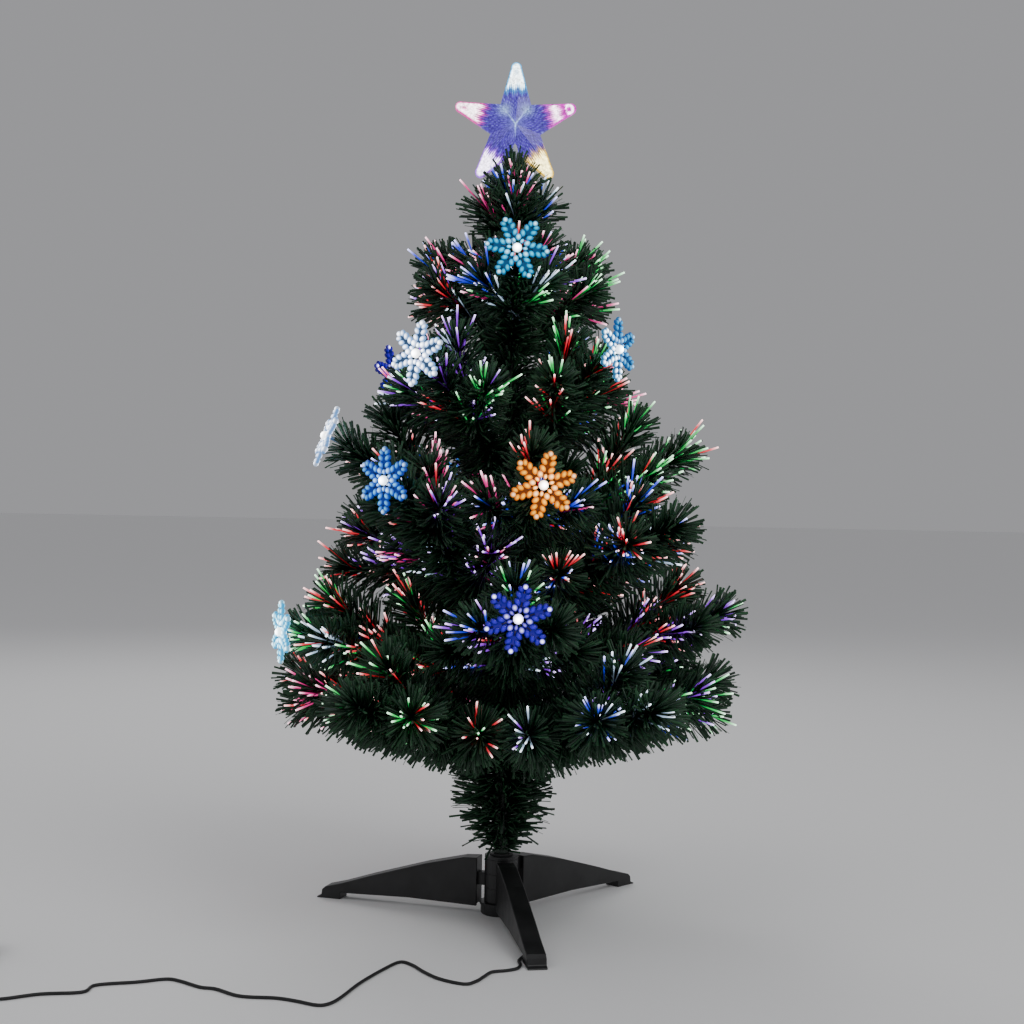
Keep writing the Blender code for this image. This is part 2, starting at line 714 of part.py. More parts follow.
def make_cord():
    """The free stretch, the coil and the adaptor that the cord ends in."""
    route = [Vector(place) * MM for place in CORD_ROUTE_MM]
    places, free_length = evenly(smooth_through(route), CORD_POINT_COUNT)
    finished(tube("power_cord", places, CORD_DIAMETER, 2), (0.01, 0.01, 0.011), 0.5)
    wound = coil_points()
    finished(tube("cord_coil", wound, CORD_DIAMETER, 1), (0.01, 0.01, 0.011), 0.5)
    wound_length = sum((end - start).length for start, end in zip(wound, wound[1:]))
    gap = least_gap(wound, CORD_DIAMETER)
    print(f"cord {(free_length + wound_length) / MM:.1f} mm, of which {wound_length / MM:.1f} mm wound")
    print(f"least gap of the coil to itself {gap / MM:.2f} mm")
    make_adaptor(wound[-1])


def make_adaptor(cord_end):
    """The plug-in power adaptor, lying on its back with its two pins upwards."""
    boss_start = cord_end.y + CLEARANCE
    low = Vector((cord_end.x - ADAPTOR_WIDTH / 2, boss_start + ADAPTOR_BOSS_LENGTH, 0.0))
    high = low + Vector((ADAPTOR_WIDTH, ADAPTOR_LENGTH, ADAPTOR_HEIGHT))
    case = block("power_adaptor", low, high)
    edges = case.modifiers.new("edges", "BEVEL")
    edges.width = ADAPTOR_ROUND
    edges.segments = 3
    boss = turned(
        "adaptor_boss",
        (
            (0.0, ADAPTOR_BOSS_LENGTH + OVERRUN),
            (ADAPTOR_BOSS_RADIUS, ADAPTOR_BOSS_LENGTH + OVERRUN),
            (ADAPTOR_BOSS_RADIUS - RELIEF_TAPER * 2, 0.0),
            (0.0, 0.0),
        ),
        HUB_SIDES // 2,
    )
    boss.rotation_euler.x = math.radians(-90)
    boss.location = (cord_end.x, boss_start, cord_end.z)
    join(case, boss)
    finished(case, (0.012, 0.012, 0.013), 0.38)
    pin_y = low.y + ADAPTOR_LENGTH * (0.5 + PIN_OFFSET_SHARE)
    for side, title in ((-1, "adaptor_pin_left"), (1, "adaptor_pin_right")):
        pin = turned(
            title,
            (
                (0.0, PIN_LENGTH),
                (PIN_RADIUS / 2, PIN_LENGTH),
                (PIN_RADIUS, PIN_LENGTH - PIN_RADIUS / 2),
                (PIN_RADIUS, 0.0),
                (0.0, 0.0),
            ),
            HUB_SIDES // 2,
        )
        pin.location = (cord_end.x + side * PIN_SPACING / 2, pin_y, ADAPTOR_HEIGHT + CLEARANCE)
        finished(pin, (0.8, 0.76, 0.62), 0.3, 1.0)


# Foliage, drawn out face by face from one prism, so that each piece is one closed body


def draw_out(bm, face, move, size=1.0, turn=0.0, towards=None):
    """Extrudes a face, then scales, turns and tilts its new end. Gives the end and the side faces."""
    end = bmesh.ops.extrude_discrete_faces(bm, faces=[face])["faces"][0]
    end.normal_update()
    centre = end.calc_center_median()
    normal = end.normal.copy()
    turning = Matrix.Rotation(turn, 3, normal)
    if towards is not None:
        turning = normal.rotation_difference(towards).to_matrix() @ turning
    for vert in end.verts:
        vert.co = centre + move + turning @ ((vert.co - centre) * size)
    sides = [f for edge in end.edges for f in edge.link_faces if f is not end]
    for side in sides:
        side.normal_update()
    end.normal_update()
    return end, sides


def grow_needle(bm, face, length, axis, lean=NEEDLE_LEAN):
    """Draws a face out to one point: away from the stem, and leaning towards its tip."""
    face.normal_update()
    middle = face.calc_center_median()
    away = (face.normal - axis * face.normal.dot(axis)).normalized()
    point = middle + length * (math.cos(lean) * away + math.sin(lean) * axis)
    vert = bmesh.ops.poke(bm, faces=[face])["verts"][0]
    vert.co = point


def way_along(way):
    """How far a face looks along a direction, as a key that sorts faces."""
    return lambda face: face.normal.dot(way)


def needle_reach(distance):
    """How long a needle may be at this distance along a branch, so that folded branches clear."""
    return min(NEEDLE_LENGTH, (HINGE_RADIUS + distance) * 0.5)


def grow_twig(bm, face, axis, way, length):
    """A twig that leaves its stem at a slant, with a needle on each side and one at its tip."""
    across = axis.cross(way).normalized()
    end, _ = draw_out(bm, face, way * length * TWIG_RING_SHARE, 0.85, 0.0, way)
    end, sides = draw_out(bm, end, way * NEEDLE_BASE)
    for side in sides:
        if abs(side.normal.dot(across)) > math.cos(math.radians(45)):
            grow_needle(bm, side, TWIG_NEEDLE_LENGTH, way)
    rest = length * (1 - TWIG_RING_SHARE) - NEEDLE_BASE
    grow_needle_tip(bm, end, rest + TWIG_TIP_NEEDLE, way)


def grow_needle_tip(bm, face, length, axis):
    """Closes a stem with one needle straight ahead."""
    middle = face.calc_center_median()
    bmesh.ops.poke(bm, faces=[face])["verts"][0].co = middle + axis * length


def branch_mesh(name, length, twig_rings, lamp):
    """One branch along +X from its hinge, with its knuckle about the origin, its twigs and needles."""
    bm = bmesh.new()
    root = STEM_ROOT_RADIUS
    bmesh.ops.create_cone(bm, cap_ends=True, segments=4, radius1=root, radius2=root, depth=KNUCKLE_LENGTH)
    bmesh.ops.rotate(bm, verts=bm.verts, matrix=Matrix.Rotation(math.radians(90), 3, "Y"))
    bmesh.ops.rotate(bm, verts=bm.verts, matrix=Matrix.Rotation(math.radians(45), 3, "X"))
    axis = Vector((1.0, 0.0, 0.0))
    end = max(bm.faces, key=lambda f: f.calc_center_median().x)
    at = KNUCKLE_LENGTH / 2
    shrink = (STEM_TIP_RADIUS / root) ** (1 / (len(twig_rings) + 1))
    for place_share, twigs in twig_rings:
        end, _ = draw_out(bm, end, axis * (length * place_share - at), shrink)
        end, sides = draw_out(bm, end, axis * NEEDLE_BASE)
        at = length * place_share + NEEDLE_BASE
        for sideways, upwards, length_share in twigs:
            # A snowflake takes the place of its branch's downward twig
            if lamp and upwards < 0:
                continue
            slant = (0.0, math.radians(-upwards), math.radians(sideways))
            way = Euler(slant).to_matrix() @ axis
            side = max(sides, key=way_along(way))
            sides.remove(side)
            grow_twig(bm, side, axis, way, length * length_share)
    last = length - FLAKE_BARE_STEM if lamp else length * LAST_RING_SHARE
    end, _ = draw_out(bm, end, axis * (last - at), shrink, math.radians(45))
    end, sides = draw_out(bm, end, axis * NEEDLE_BASE)
    for side in sides:
        grow_needle(bm, side, needle_reach(last) * (0.7 if lamp else 1.0), axis)
    end, _ = draw_out(bm, end, axis * (length - last - NEEDLE_BASE), 0.9)
    if not lamp:
        grow_needle_tip(bm, end, NEEDLE_LENGTH * 0.6, axis)
    mesh = bpy.data.meshes.new(name)
    bm.to_mesh(mesh)
    bm.free()
    return mesh


# The branches, by tier. A tier has its reach as a share of the foliage's, its rise in degrees, its twigs
# and its branches: each one's azimuth, and on a branch with a snowflake its own reach share and rise,
# and the snowflake's colour
WHITE = (0.95, 0.95, 1.0)
SKY = (0.45, 0.75, 1.0)
TEAL = (0.20, 0.85, 0.95)
CYAN = (0.10, 0.70, 1.0)
AMBER = (1.0, 0.45, 0.10)
VIOLET = (0.25, 0.20, 1.0)
TIER_SHARES = (
    (1.00, 16.0, LONG_TWIG_SHARES, (
        (-126.0,), (-54.0,), (18.0,), (90.0,), (162.0,),
    )),
    (0.96, 19.0, LONG_TWIG_SHARES, (
        (-87.2, 0.900, 22.2, VIOLET), (3.0,), (93.0, 0.930, 20.0, AMBER), (-172.6, 0.934, 13.7, CYAN),
    )),
    (0.87, 27.0, LONG_TWIG_SHARES, (
        (-128.2, 0.753, 39.6, SKY), (-38.0,), (52.0, 0.860, 29.0, WHITE), (142.0,),
    )),
    (0.79, 31.0, MIDDLE_TWIG_SHARES, (
        (-80.4, 0.762, 21.0, AMBER), (10.0,), (105.0, 0.740, 28.0, SKY), (-165.0, 0.762, 32.7, WHITE),
    )),
    (0.66, 38.0, UPPER_TWIG_SHARES, (
        (-125.6, 0.604, 40.1, WHITE), (-37.1, 0.506, 48.7, SKY), (55.0,), (147.0, 0.600, 40.0, VIOLET),
    )),
    (0.40, 50.0, TOP_TWIG_SHARES, (
        (-87.6, 0.345, 53.9, TEAL), (32.0,), (152.0,),
    )),
)


def brush_sleeve(name, ends, bore, wall, sides, shares, length, lean):
    """A tinsel sleeve about the Z axis, with rings of needles and a bore."""
    bottom, top = ends
    ring_shares, reach_shares, lean_shares = shares
    bm = bmesh.new()
    radius = bore + wall
    first = ring_shares[0] * (top - bottom)
    bmesh.ops.create_cone(bm, cap_ends=True, segments=sides, radius1=radius, radius2=radius, depth=first)
    bmesh.ops.translate(bm, verts=bm.verts, vec=(0.0, 0.0, bottom + first / 2))
    axis = Vector((0.0, 0.0, 1.0))
    end = max(bm.faces, key=lambda face: face.calc_center_median().z)
    stops = [bottom + share * (top - bottom) for share in ring_shares[1:]] + [top]
    for reach, lean_share, following in zip(reach_shares, lean_shares, stops):
        end, faces = draw_out(bm, end, axis * NEEDLE_BASE)
        for face in faces:
            grow_needle(bm, face, length * reach, axis, lean * lean_share)
        here = end.calc_center_median().z
        end, _ = draw_out(bm, end, axis * (following - here), 1.0, math.pi / sides)
    mesh = bpy.data.meshes.new(name)
    bm.to_mesh(mesh)
    bm.free()
    sleeve = linked(name, mesh)
    above = top + OVERRUN
    below = bottom - OVERRUN
    profile = ((0.0, above), (bore, above), (bore, below), (0.0, below))
    cut(sleeve, turned(name + "_bore", profile, POLE_SIDES, group=CUTTERS))
    finished(sleeve, *GREEN_TINSEL)


def make_wraps():
    """The tinsel round the bare pole under the branches, and the tuft round the rod under the star."""
    brush_sleeve(
        "trunk_garland",
        (GARLAND_BOTTOM, GARLAND_TOP),
        POLE_RADIUS + CLEARANCE,
        GARLAND_SLEEVE_WALL,
        GARLAND_SIDES,
        (GARLAND_RING_SHARES, GARLAND_REACH_SHARES, GARLAND_LEAN_SHARES),
        GARLAND_RADIUS - POLE_RADIUS,
        GARLAND_LEAN,
    )
    brush_sleeve(
        "crown_foliage",
        (CROWN_BOTTOM, CROWN_TOP),
        TIP_ROD_RADIUS + CLEARANCE,
        CROWN_SLEEVE_WALL,
        CROWN_SIDES,
        (CROWN_RING_SHARES, CROWN_REACH_SHARES, CROWN_LEAN_SHARES),
        CROWN_NEEDLE_LENGTH,
        CROWN_LEAN,
    )


def flake_outline():
    """A six-armed flake whose broad arms have three pairs of lobes and a rounded tip."""
    half_turn = math.pi / FLAKE_ARMS
    valley = (FLAKE_VALLEY_RADIUS * math.cos(half_turn), FLAKE_VALLEY_RADIUS * math.sin(half_turn))
    side = []
    for shares in FLAKE_LOBE_SHARES:
        place, half, notch_place, notch_half = (FLAKE_RADIUS * share for share in shares)
        side += [(place, half), (notch_place, notch_half)]
    side.append((FLAKE_RADIUS - FLAKE_BEAD_RADIUS, FLAKE_BEAD_RADIUS))
    arm = [valley] + side + [(FLAKE_RADIUS, 0.0)] + [(x, -y) for x, y in reversed(side)]
    outline = []
    for i in range(FLAKE_ARMS):
        turn = 2 * half_turn * i
        along = Vector((math.cos(turn), math.sin(turn)))
        across = Vector((along.y, -along.x))
        outline += [x * along + y * across for x, y in arm]
    return outline


def make_flake_mesh():
    """A snowflake in local Y and Z, facing +X, on a stem whose ball is at the origin."""
    plate = flat("snowflake", [flake_outline()], FLAKE_THICKNESS)
    plate.data.transform(Matrix.Translation((0.0, 0.0, FLAKE_STAND_OFF)))
    front = FLAKE_STAND_OFF + FLAKE_THICKNESS / 2
    ball = FLAKE_BALL_RADIUS
    core = turned(
        "snowflake_lamp",
        (
            (0.0, front + FLAKE_LAMP_HEIGHT),
            (FLAKE_LAMP_RADIUS * 0.8, front + FLAKE_LAMP_HEIGHT * 0.7),
            (FLAKE_LAMP_RADIUS, FLAKE_STAND_OFF),
            (FLAKE_STEM_RADIUS, FLAKE_STAND_OFF - 1.5 * FLAKE_THICKNESS),
            (FLAKE_STEM_RADIUS, ball),
            (ball, 0.0),
            (0.0, -ball),
        ),
        FLAKE_ARMS,
        group=CUTTERS,
    )
    join(plate, baked(core))
    plate = baked(plate)
    plate.data.transform(Matrix.Rotation(math.radians(90), 4, "Y"))
    mesh = plate.data.copy()
    bm = bmesh.new()
    bm.from_mesh(mesh)
    bmesh.ops.dissolve_limit(bm, angle_limit=FLAT_ANGLE, verts=bm.verts, edges=bm.edges)
    bm.to_mesh(mesh)
    bm.free()
    bpy.data.objects.remove(plate, do_unlink=True)
    return mesh


def make_branches():
    """The hinged branches, and the snowflakes on the tips of some."""
    flake_mesh = make_flake_mesh()
    number = 0
    flakes = 0
    for height_share, tier in zip(TIER_HEIGHT_SHARES, TIER_SHARES):
        tier_reach, tier_rise, twig_rings, branches = tier
        height = LOWEST_BRANCH + height_share * TIER_SPACING
        for azimuth, *own in branches:
            reach_share, rise, colour = own or (tier_reach, tier_rise, None)
            number += 1
            azimuth = math.radians(azimuth)
            rise = math.radians(rise)
            length = (WIDEST_REACH * reach_share - HINGE_RADIUS) / math.cos(rise)
            name = f"branch_{number:02d}"
            branch = linked(name, branch_mesh(name, length, twig_rings, colour is not None))
            branch.location = outward(azimuth, HINGE_RADIUS, height)
            branch.rotation_euler = (0.0, -rise, azimuth)
            finished(branch, *GREEN_TINSEL)
            if colour is None:
                continue
            flakes += 1
            flake = linked(f"snowflake_{flakes:02d}", flake_mesh.copy())
            flake.parent = branch
            flake.location.x = length + FLAKE_BALL_RADIUS + CLEARANCE
            flake.rotation_euler.y = rise
            finished(flake, colour, 0.15, glow=1.0)


# Star


def star_outline(scale=1.0):
    """A five-pointed star with round points, upright in local X and Y."""
    points = []
    half = STAR_TIP_WIDTH / 2
    for i in range(STAR_ARMS):
        arm = math.radians(90) + math.tau * i / STAR_ARMS
        along = Vector((math.cos(arm), math.sin(arm)))
        across = Vector((-along.y, along.x))
        inner = arm - math.pi / STAR_ARMS
        tip = (STAR_RADIUS - half) * along
        points.append(STAR_INNER_RADIUS * Vector((math.cos(inner), math.sin(inner))))
        for step in range(STAR_TIP_STEPS + 1):
            turn = math.pi * step / STAR_TIP_STEPS
            points.append(tip + half * (math.sin(turn) * along - math.cos(turn) * across))
    return [point * scale for point in points]


def star_edge_distance():
    """How far the long edges of the star lie from its centre."""
    inner, tip = star_outline()[0], star_outline()[1]
    return abs(inner.x * tip.y - inner.y * tip.x) / (tip - inner).length


def star_shell(name, back):
    """One faceted half of the star: a rim and facets that rise to its middle, as a thin wall."""
    outline = star_outline()
    bm = bmesh.new()
    bmesh.ops.create_circle(bm, cap_ends=True, segments=len(outline), radius=STAR_RADIUS)
    bm.verts.ensure_lookup_table()
    bm.faces.ensure_lookup_table()
    face = bm.faces[0]
    if face.normal.z < 0:
        face.normal_flip()
    for vert, place in zip([loop.vert for loop in face.loops], outline):
        vert.co = (place.x, place.y, STAR_RIM)
    border = list(bm.edges)
    rim = bmesh.ops.extrude_edge_only(bm, edges=border)["geom"]
    for vert in rim:
        if isinstance(vert, bmesh.types.BMVert):
            vert.co.z = 0.0
    centre = bmesh.ops.poke(bm, faces=[face])["verts"][0]
    centre.co = (0.0, 0.0, STAR_RIM + STAR_RIDGE)
    bmesh.ops.recalc_face_normals(bm, faces=bm.faces)
    if centre.link_faces[0].normal.z < 0:
        bmesh.ops.reverse_faces(bm, faces=bm.faces)
    mesh = bpy.data.meshes.new(name)
    bm.to_mesh(mesh)
    bm.free()
    shell = linked(name, mesh)
    shell.location = (0.0, CLEARANCE / 2 if back else -CLEARANCE / 2, STAR_CENTRE_HEIGHT)
    shell.rotation_euler = (math.radians(90), 0.0, math.radians(180) if back else 0.0)
    wall = shell.modifiers.new("wall", "SOLIDIFY")
    wall.thickness = STAR_WALL
    wall.offset = -1.0
    wall.use_even_offset = True
    return shell


def star_notch(name):
    """Clears the socket's way into a piece of the star."""
    radius = TIP_ROD_RADIUS + 2 * CLEARANCE + STAR_SOCKET_WALL
    top = STAR_SOCKET_TOP + CLEARANCE
    profile = ((0.0, top), (radius, top), (radius, STAR_SOCKET_BOTTOM), (0.0, STAR_SOCKET_BOTTOM))
    return turned(name, profile, POLE_SIDES, group=CUTTERS)


def make_star():
    """Two clear shells, the lamp board between them and the socket that fits the rod."""
    for name, back in (("star_front_shell", False), ("star_back_shell", True)):
        shell = cut(star_shell(name, back), star_notch(name + "_notch"))
        finished(shell, (0.72, 0.76, 1.0), 0.12, glow=0.3)
    scale = 1 - (STAR_WALL + CLEARANCE) / star_edge_distance()
    board = side_view(flat("star_led_board", [star_outline(scale)], STAR_BOARD_THICKNESS))
    board.location.z = STAR_CENTRE_HEIGHT
    for i in range(STAR_ARMS):
        arm = math.radians(90) + math.tau * i / STAR_ARMS
        lamp = turned(
            f"star_lamp_{i + 1}",
            (
                (0.0, STAR_BOARD_THICKNESS / 2 + STAR_LAMP_HEIGHT),
                (STAR_LAMP_RADIUS * 0.7, STAR_BOARD_THICKNESS / 2 + STAR_LAMP_HEIGHT * 0.8),
                (STAR_LAMP_RADIUS, STAR_BOARD_THICKNESS / 2),
                (STAR_LAMP_RADIUS, 0.0),
                (0.0, 0.0),
            ),
            8,
            group=CUTTERS,
        )
        place = STAR_RADIUS * STAR_LAMP_SHARE
        lamp.location = (place * math.cos(arm), 0.0, STAR_CENTRE_HEIGHT + place * math.sin(arm))
        lamp.rotation_euler.x = math.radians(90)
        join(board, lamp)
    cut(board, star_notch("star_board_notch"))
    finished(board, (0.85, 0.86, 0.9), 0.3)
    bore = TIP_ROD_RADIUS + CLEARANCE
    roof = TIP_ROD_TOP + CLEARANCE
    socket = turned(
        "star_socket",
        (
            (0.0, STAR_SOCKET_TOP),
            (bore + STAR_SOCKET_WALL, STAR_SOCKET_TOP),
            (bore + STAR_SOCKET_WALL, STAR_SOCKET_BOTTOM),
            (bore, STAR_SOCKET_BOTTOM),
            (bore, roof),
            (0.0, roof),
        ),
        POLE_SIDES,
    )
    finished(socket, (0.72, 0.76, 0.9), 0.15)


make_hub()
make_leg("leg_front", FRONT_LEG_AZIMUTH, 0)
make_leg("leg_left", LEFT_LEG_AZIMUTH, 1)
make_leg("leg_right", RIGHT_LEG_AZIMUTH, 2)
make_lamp()
make_light_guide()
make_pole()
make_strain_relief()
make_cord()
make_wraps()
make_branches()
make_star()
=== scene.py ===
"""The looks of a fibre-optic tinsel tree with lit snowflakes and a star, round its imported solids.

Metres, +Z up, in the solids' own frame: the pole stands on the origin and the front looks along -Y.
"""

import json
from math import cos, exp, pi, radians, sin, tau

import bpy
import numpy as np
from mathutils import Matrix, Vector


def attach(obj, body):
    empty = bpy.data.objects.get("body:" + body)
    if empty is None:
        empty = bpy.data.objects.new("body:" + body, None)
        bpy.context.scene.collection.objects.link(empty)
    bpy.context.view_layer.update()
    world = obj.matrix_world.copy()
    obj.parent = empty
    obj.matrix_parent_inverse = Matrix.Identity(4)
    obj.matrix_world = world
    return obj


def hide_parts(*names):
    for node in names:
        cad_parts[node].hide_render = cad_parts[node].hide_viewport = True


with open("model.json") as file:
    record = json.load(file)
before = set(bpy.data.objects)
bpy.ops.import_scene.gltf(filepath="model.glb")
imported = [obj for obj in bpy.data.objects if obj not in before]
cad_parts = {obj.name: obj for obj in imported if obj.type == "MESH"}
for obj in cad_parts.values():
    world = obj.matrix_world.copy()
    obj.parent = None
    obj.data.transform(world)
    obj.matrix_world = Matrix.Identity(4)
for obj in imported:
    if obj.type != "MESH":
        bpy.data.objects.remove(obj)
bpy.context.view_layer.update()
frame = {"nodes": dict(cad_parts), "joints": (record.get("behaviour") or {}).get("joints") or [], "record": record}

MM = 0.001
RNG = np.random.default_rng(90)

# Camera, with the photograph's height, lens and slight roll

PHOTO_WIDTH = 1024
FOCAL_SHARE = 1535 / PHOTO_WIDTH
CAMERA_SHIFT = 4 / PHOTO_WIDTH
SENSOR_WIDTH = 36.0
CAMERA_PLACE = (0.0, -1.626, 0.4243)
CAMERA_ROLL = radians(1.1)


def add_object(name, data):
    """A new object in the scene."""
    added = bpy.data.objects.new(name, data)
    bpy.context.scene.collection.objects.link(added)
    return added


def make_camera():
    """The camera looks level along +Y."""
    data = bpy.data.cameras.new("camera")
    data.sensor_width = SENSOR_WIDTH
    data.lens = SENSOR_WIDTH * FOCAL_SHARE
    data.shift_x = CAMERA_SHIFT
    camera = add_object("camera", data)
    turn = Matrix.Rotation(radians(90), 4, "X") @ Matrix.Rotation(CAMERA_ROLL, 4, "Z")
    camera.matrix_world = Matrix.Translation(CAMERA_PLACE) @ turn
    bpy.context.scene.camera = camera


make_camera()


# Materials


class Shader:
    """A Principled material and short ways to build its node tree."""

    def __init__(self, name, **values):
        self.material = bpy.data.materials.new(name)
        self.material.use_nodes = True
        self.tree = self.material.node_tree
        self.base = self.tree.nodes["Principled BSDF"]
        for key, value in values.items():
            self.set(key.replace("_", " "), value)

    def plug(self, target, value):
        """A constant, or another node's output, into an input."""
        if isinstance(value, bpy.types.NodeSocket):
            self.tree.links.new(value, target)
        else:
            target.default_value = value

    def set(self, socket, value):
        """A constant, or another node's output, into the shader itself."""
        self.plug(self.base.inputs[socket], value)

    def node(self, kind, inputs=None, **settings):
        """A node, with its settings and its inputs as constants or other nodes' outputs."""
        node = self.tree.nodes.new("ShaderNode" + kind)
        for key, value in settings.items():
            setattr(node, key, value)
        for key, value in (inputs or {}).items():
            self.plug(node.inputs[key], value)
        return node

    def place(self):
        """Coordinates on the piece itself, in metres."""
        return self.node("TexCoord").outputs["Object"]

    def noise(self, scale, detail=3.0, roughness=0.5):
        """Soft noise on the piece's own coordinates."""
        inputs = {"Vector": self.place(), "Scale": scale, "Detail": detail, "Roughness": roughness}
        return self.node("TexNoise", inputs).outputs["Fac"]

    def ramp(self, value, *stops):
        """Colours by a value: each stop is a position and a colour."""
        node = self.node("ValToRGB", {"Fac": value})
        elements = node.color_ramp.elements
        while len(elements) < len(stops):
            elements.new(0.5)
        for element, (position, colour) in zip(elements, stops):
            element.position = position
            element.color = (*colour, 1.0)
        return node.outputs["Color"]

    def span(self, value, low, high, start=0.0, end=1.0):
        """A value carried from one range to another."""
        inputs = {"Value": value, "From Min": start, "From Max": end, "To Min": low, "To Max": high}
        return self.node("MapRange", inputs).outputs["Result"]

    def attribute(self, name, output="Fac"):
        """An attribute that the mesh carries."""
        return self.node("Attribute", attribute_name=name).outputs[output]

    def times(self, first, second):
        """The product of two values."""
        return self.node("Math", {0: first, 1: second}, operation="MULTIPLY").outputs[0]

    def bump(self, scale, strength, distance, detail=2.0):
        """Bump from soft noise."""
        inputs = {"Height": self.noise(scale, detail), "Strength": strength, "Distance": distance}
        self.set("Normal", self.node("Bump", inputs).outputs["Normal"])


def moulded_plastic(name, dark, light, roughness, grain):
    """Moulded plastic with a fine spark-eroded grain, a little dust and uneven gloss."""
    shader = Shader(name)
    shader.set("Base Color", shader.ramp(shader.noise(35.0, detail=4.0), (0.35, dark), (0.75, light)))
    shader.set("Roughness", shader.span(shader.noise(90.0, detail=2.0), roughness - 0.07, roughness + 0.09))
    shader.bump(grain, strength=0.25, distance=0.2 * MM)
    return shader.material


def soft_rubber(name, colour):
    """A flexible black compound."""
    shader = Shader(name)
    pale = tuple(2 * c for c in colour)
    shader.set("Base Color", shader.ramp(shader.noise(120.0), (0.3, colour), (0.8, pale)))
    shader.set("Roughness", shader.span(shader.noise(60.0), 0.48, 0.66))
    shader.bump(900.0, strength=0.15, distance=0.2 * MM)
    return shader.material


def drawn_metal(name, colour, roughness):
    """Bright metal with fine scratches along it."""
    shader = Shader(name, Metallic=1.0)
    stretched = shader.node("Mapping", {"Vector": shader.place(), "Scale": (900.0, 900.0, 60.0)})
    noise = shader.node("TexNoise", {"Vector": stretched.outputs[0], "Scale": 1.0})
    scratches = noise.outputs["Fac"]
    worn = tuple(0.8 * c for c in colour)
    shader.set("Base Color", shader.ramp(scratches, (0.3, worn), (0.7, colour)))
    shader.set("Roughness", shader.span(scratches, roughness, roughness + 0.15))
    return shader.material


def tinsel_film(name):
    """Glossy dark green film, each strip a little different, with painted shade at its root inside the tuft and
    painted light towards its cut end.
    """
    shader = Shader(name)
    tone_and_painted_shade = shader.attribute("tone_and_painted_shade")
    dark, middle, light = (0.002, 0.012, 0.005), (0.006, 0.042, 0.016), (0.022, 0.120, 0.040)
    shader.set("Base Color", shader.ramp(tone_and_painted_shade, (0.0, dark), (0.5, middle), (1.0, light)))
    shader.set("Roughness", shader.span(tone_and_painted_shade, 0.34, 0.50))
    shader.bump(700.0, strength=0.2, distance=0.3 * MM)
    return shader.material


def lit_shader(name, roughness, dimming):
    """A shader in the piece's own colours: dim where nothing lights it, and glowing in the same colours."""
    shader = Shader(name, Roughness=roughness)
    tint = shader.attribute("tint", "Color")
    inputs = {"Fac": dimming, "Color1": tint, "Color2": (0.0, 0.0, 0.0, 1.0)}
    shader.set("Base Color", shader.node("MixRGB", inputs).outputs["Color"])
    shader.set("Emission Color", tint)
    return shader


def lit_strands(name, strength):
    """Clear strands that carry coloured light, faint along their sides and hot at their cut ends."""
    shader = lit_shader(name, roughness=0.15, dimming=0.6)
    glow = shader.attribute("glow")
    shader.set("Emission Strength", shader.times(shader.times(glow, glow), strength))
    return shader.material


def lit_plastic(name, roughness, crackle=0.0):
    """Clear plastic lit from behind, with a glow of its own at each point, even or crackled."""
    shader = lit_shader(name, roughness, dimming=0.85)
    glow = shader.attribute("glow")
    if crackle:
        grain = shader.noise(330.0, detail=8.0, roughness=0.75)
        glow = shader.times(glow, shader.span(grain, 1.0 - crackle, 1.0 + crackle, start=0.38, end=0.62))
    shader.set("Emission Strength", glow)
    shader.bump(420.0, strength=0.25, distance=0.4 * MM, detail=3.0)
    return shader.material


# The looks; a moulded plastic has its dark and light shade, roughness and grain
STAND_PLASTIC = moulded_plastic("stand_plastic", (0.006, 0.006, 0.0065), (0.018, 0.018, 0.019), 0.42, 1400.0)
ADAPTOR_PLASTIC = moulded_plastic("adaptor_plastic", (0.008, 0.008, 0.009), (0.02, 0.02, 0.021), 0.36, 1800.0)
BOARD_PLASTIC = moulded_plastic("board_plastic", (0.60, 0.61, 0.58), (0.75, 0.76, 0.74), 0.40, 900.0)
CLEAR_PLASTIC = moulded_plastic("clear_plastic", (0.62, 0.66, 0.80), (0.74, 0.78, 0.92), 0.15, 600.0)
POLE_PAINT = moulded_plastic("pole_paint", (0.003, 0.010, 0.005), (0.007, 0.024, 0.011), 0.40, 700.0)
CORD_JACKET = soft_rubber("cord_jacket", (0.006, 0.006, 0.0065))
RELIEF_RUBBER = soft_rubber("relief_rubber", (0.008, 0.008, 0.0085))
PIN_METAL = drawn_metal("pin_metal", (0.86, 0.80, 0.62), roughness=0.18)
FERRULE_METAL = drawn_metal("ferrule_metal", (0.75, 0.75, 0.76), roughness=0.30)
TINSEL = tinsel_film("tinsel_film")
STRANDS = lit_strands("lit_strands", strength=1.3)
FLAKE_PLASTIC = lit_plastic("flake_plastic", roughness=0.18)
STAR_PLASTIC = lit_plastic("star_plastic", roughness=0.12, crackle=0.6)

NODE_LOOKS = (
    (STAND_PLASTIC, ("stand_hub", "hub_cap", "leg_front", "leg_left", "leg_right", "lamp_cover")),
    (BOARD_PLASTIC, ("led_board", "star_led_board")),
    (CLEAR_PLASTIC, ("led_emitter", "fibre_bundle", "star_socket")),
    (POLE_PAINT, ("pole", "pole_tip")),
    (RELIEF_RUBBER, ("strain_relief",)),
    (ADAPTOR_PLASTIC, ("power_adaptor",)),
    (PIN_METAL, ("adaptor_pin_left", "adaptor_pin_right")),
    (FERRULE_METAL, ("fibre_ferrule",)),
)
for look, node_names in NODE_LOOKS:
    for node_name in node_names:
        for held in frame["nodes"][node_name].material_slots:
            held.material = look


def smooth_step(value):
    """Rises from 0 to 1, level at both ends."""
    value = np.clip(value, 0.0, 1.0)
    return value * value * (3 - 2 * value)


def blended(first, second, share):
    """A value or colour carried towards a second one."""
    return np.asarray(first) * (1 - share) + np.asarray(second) * share


# Cord, as in the solids

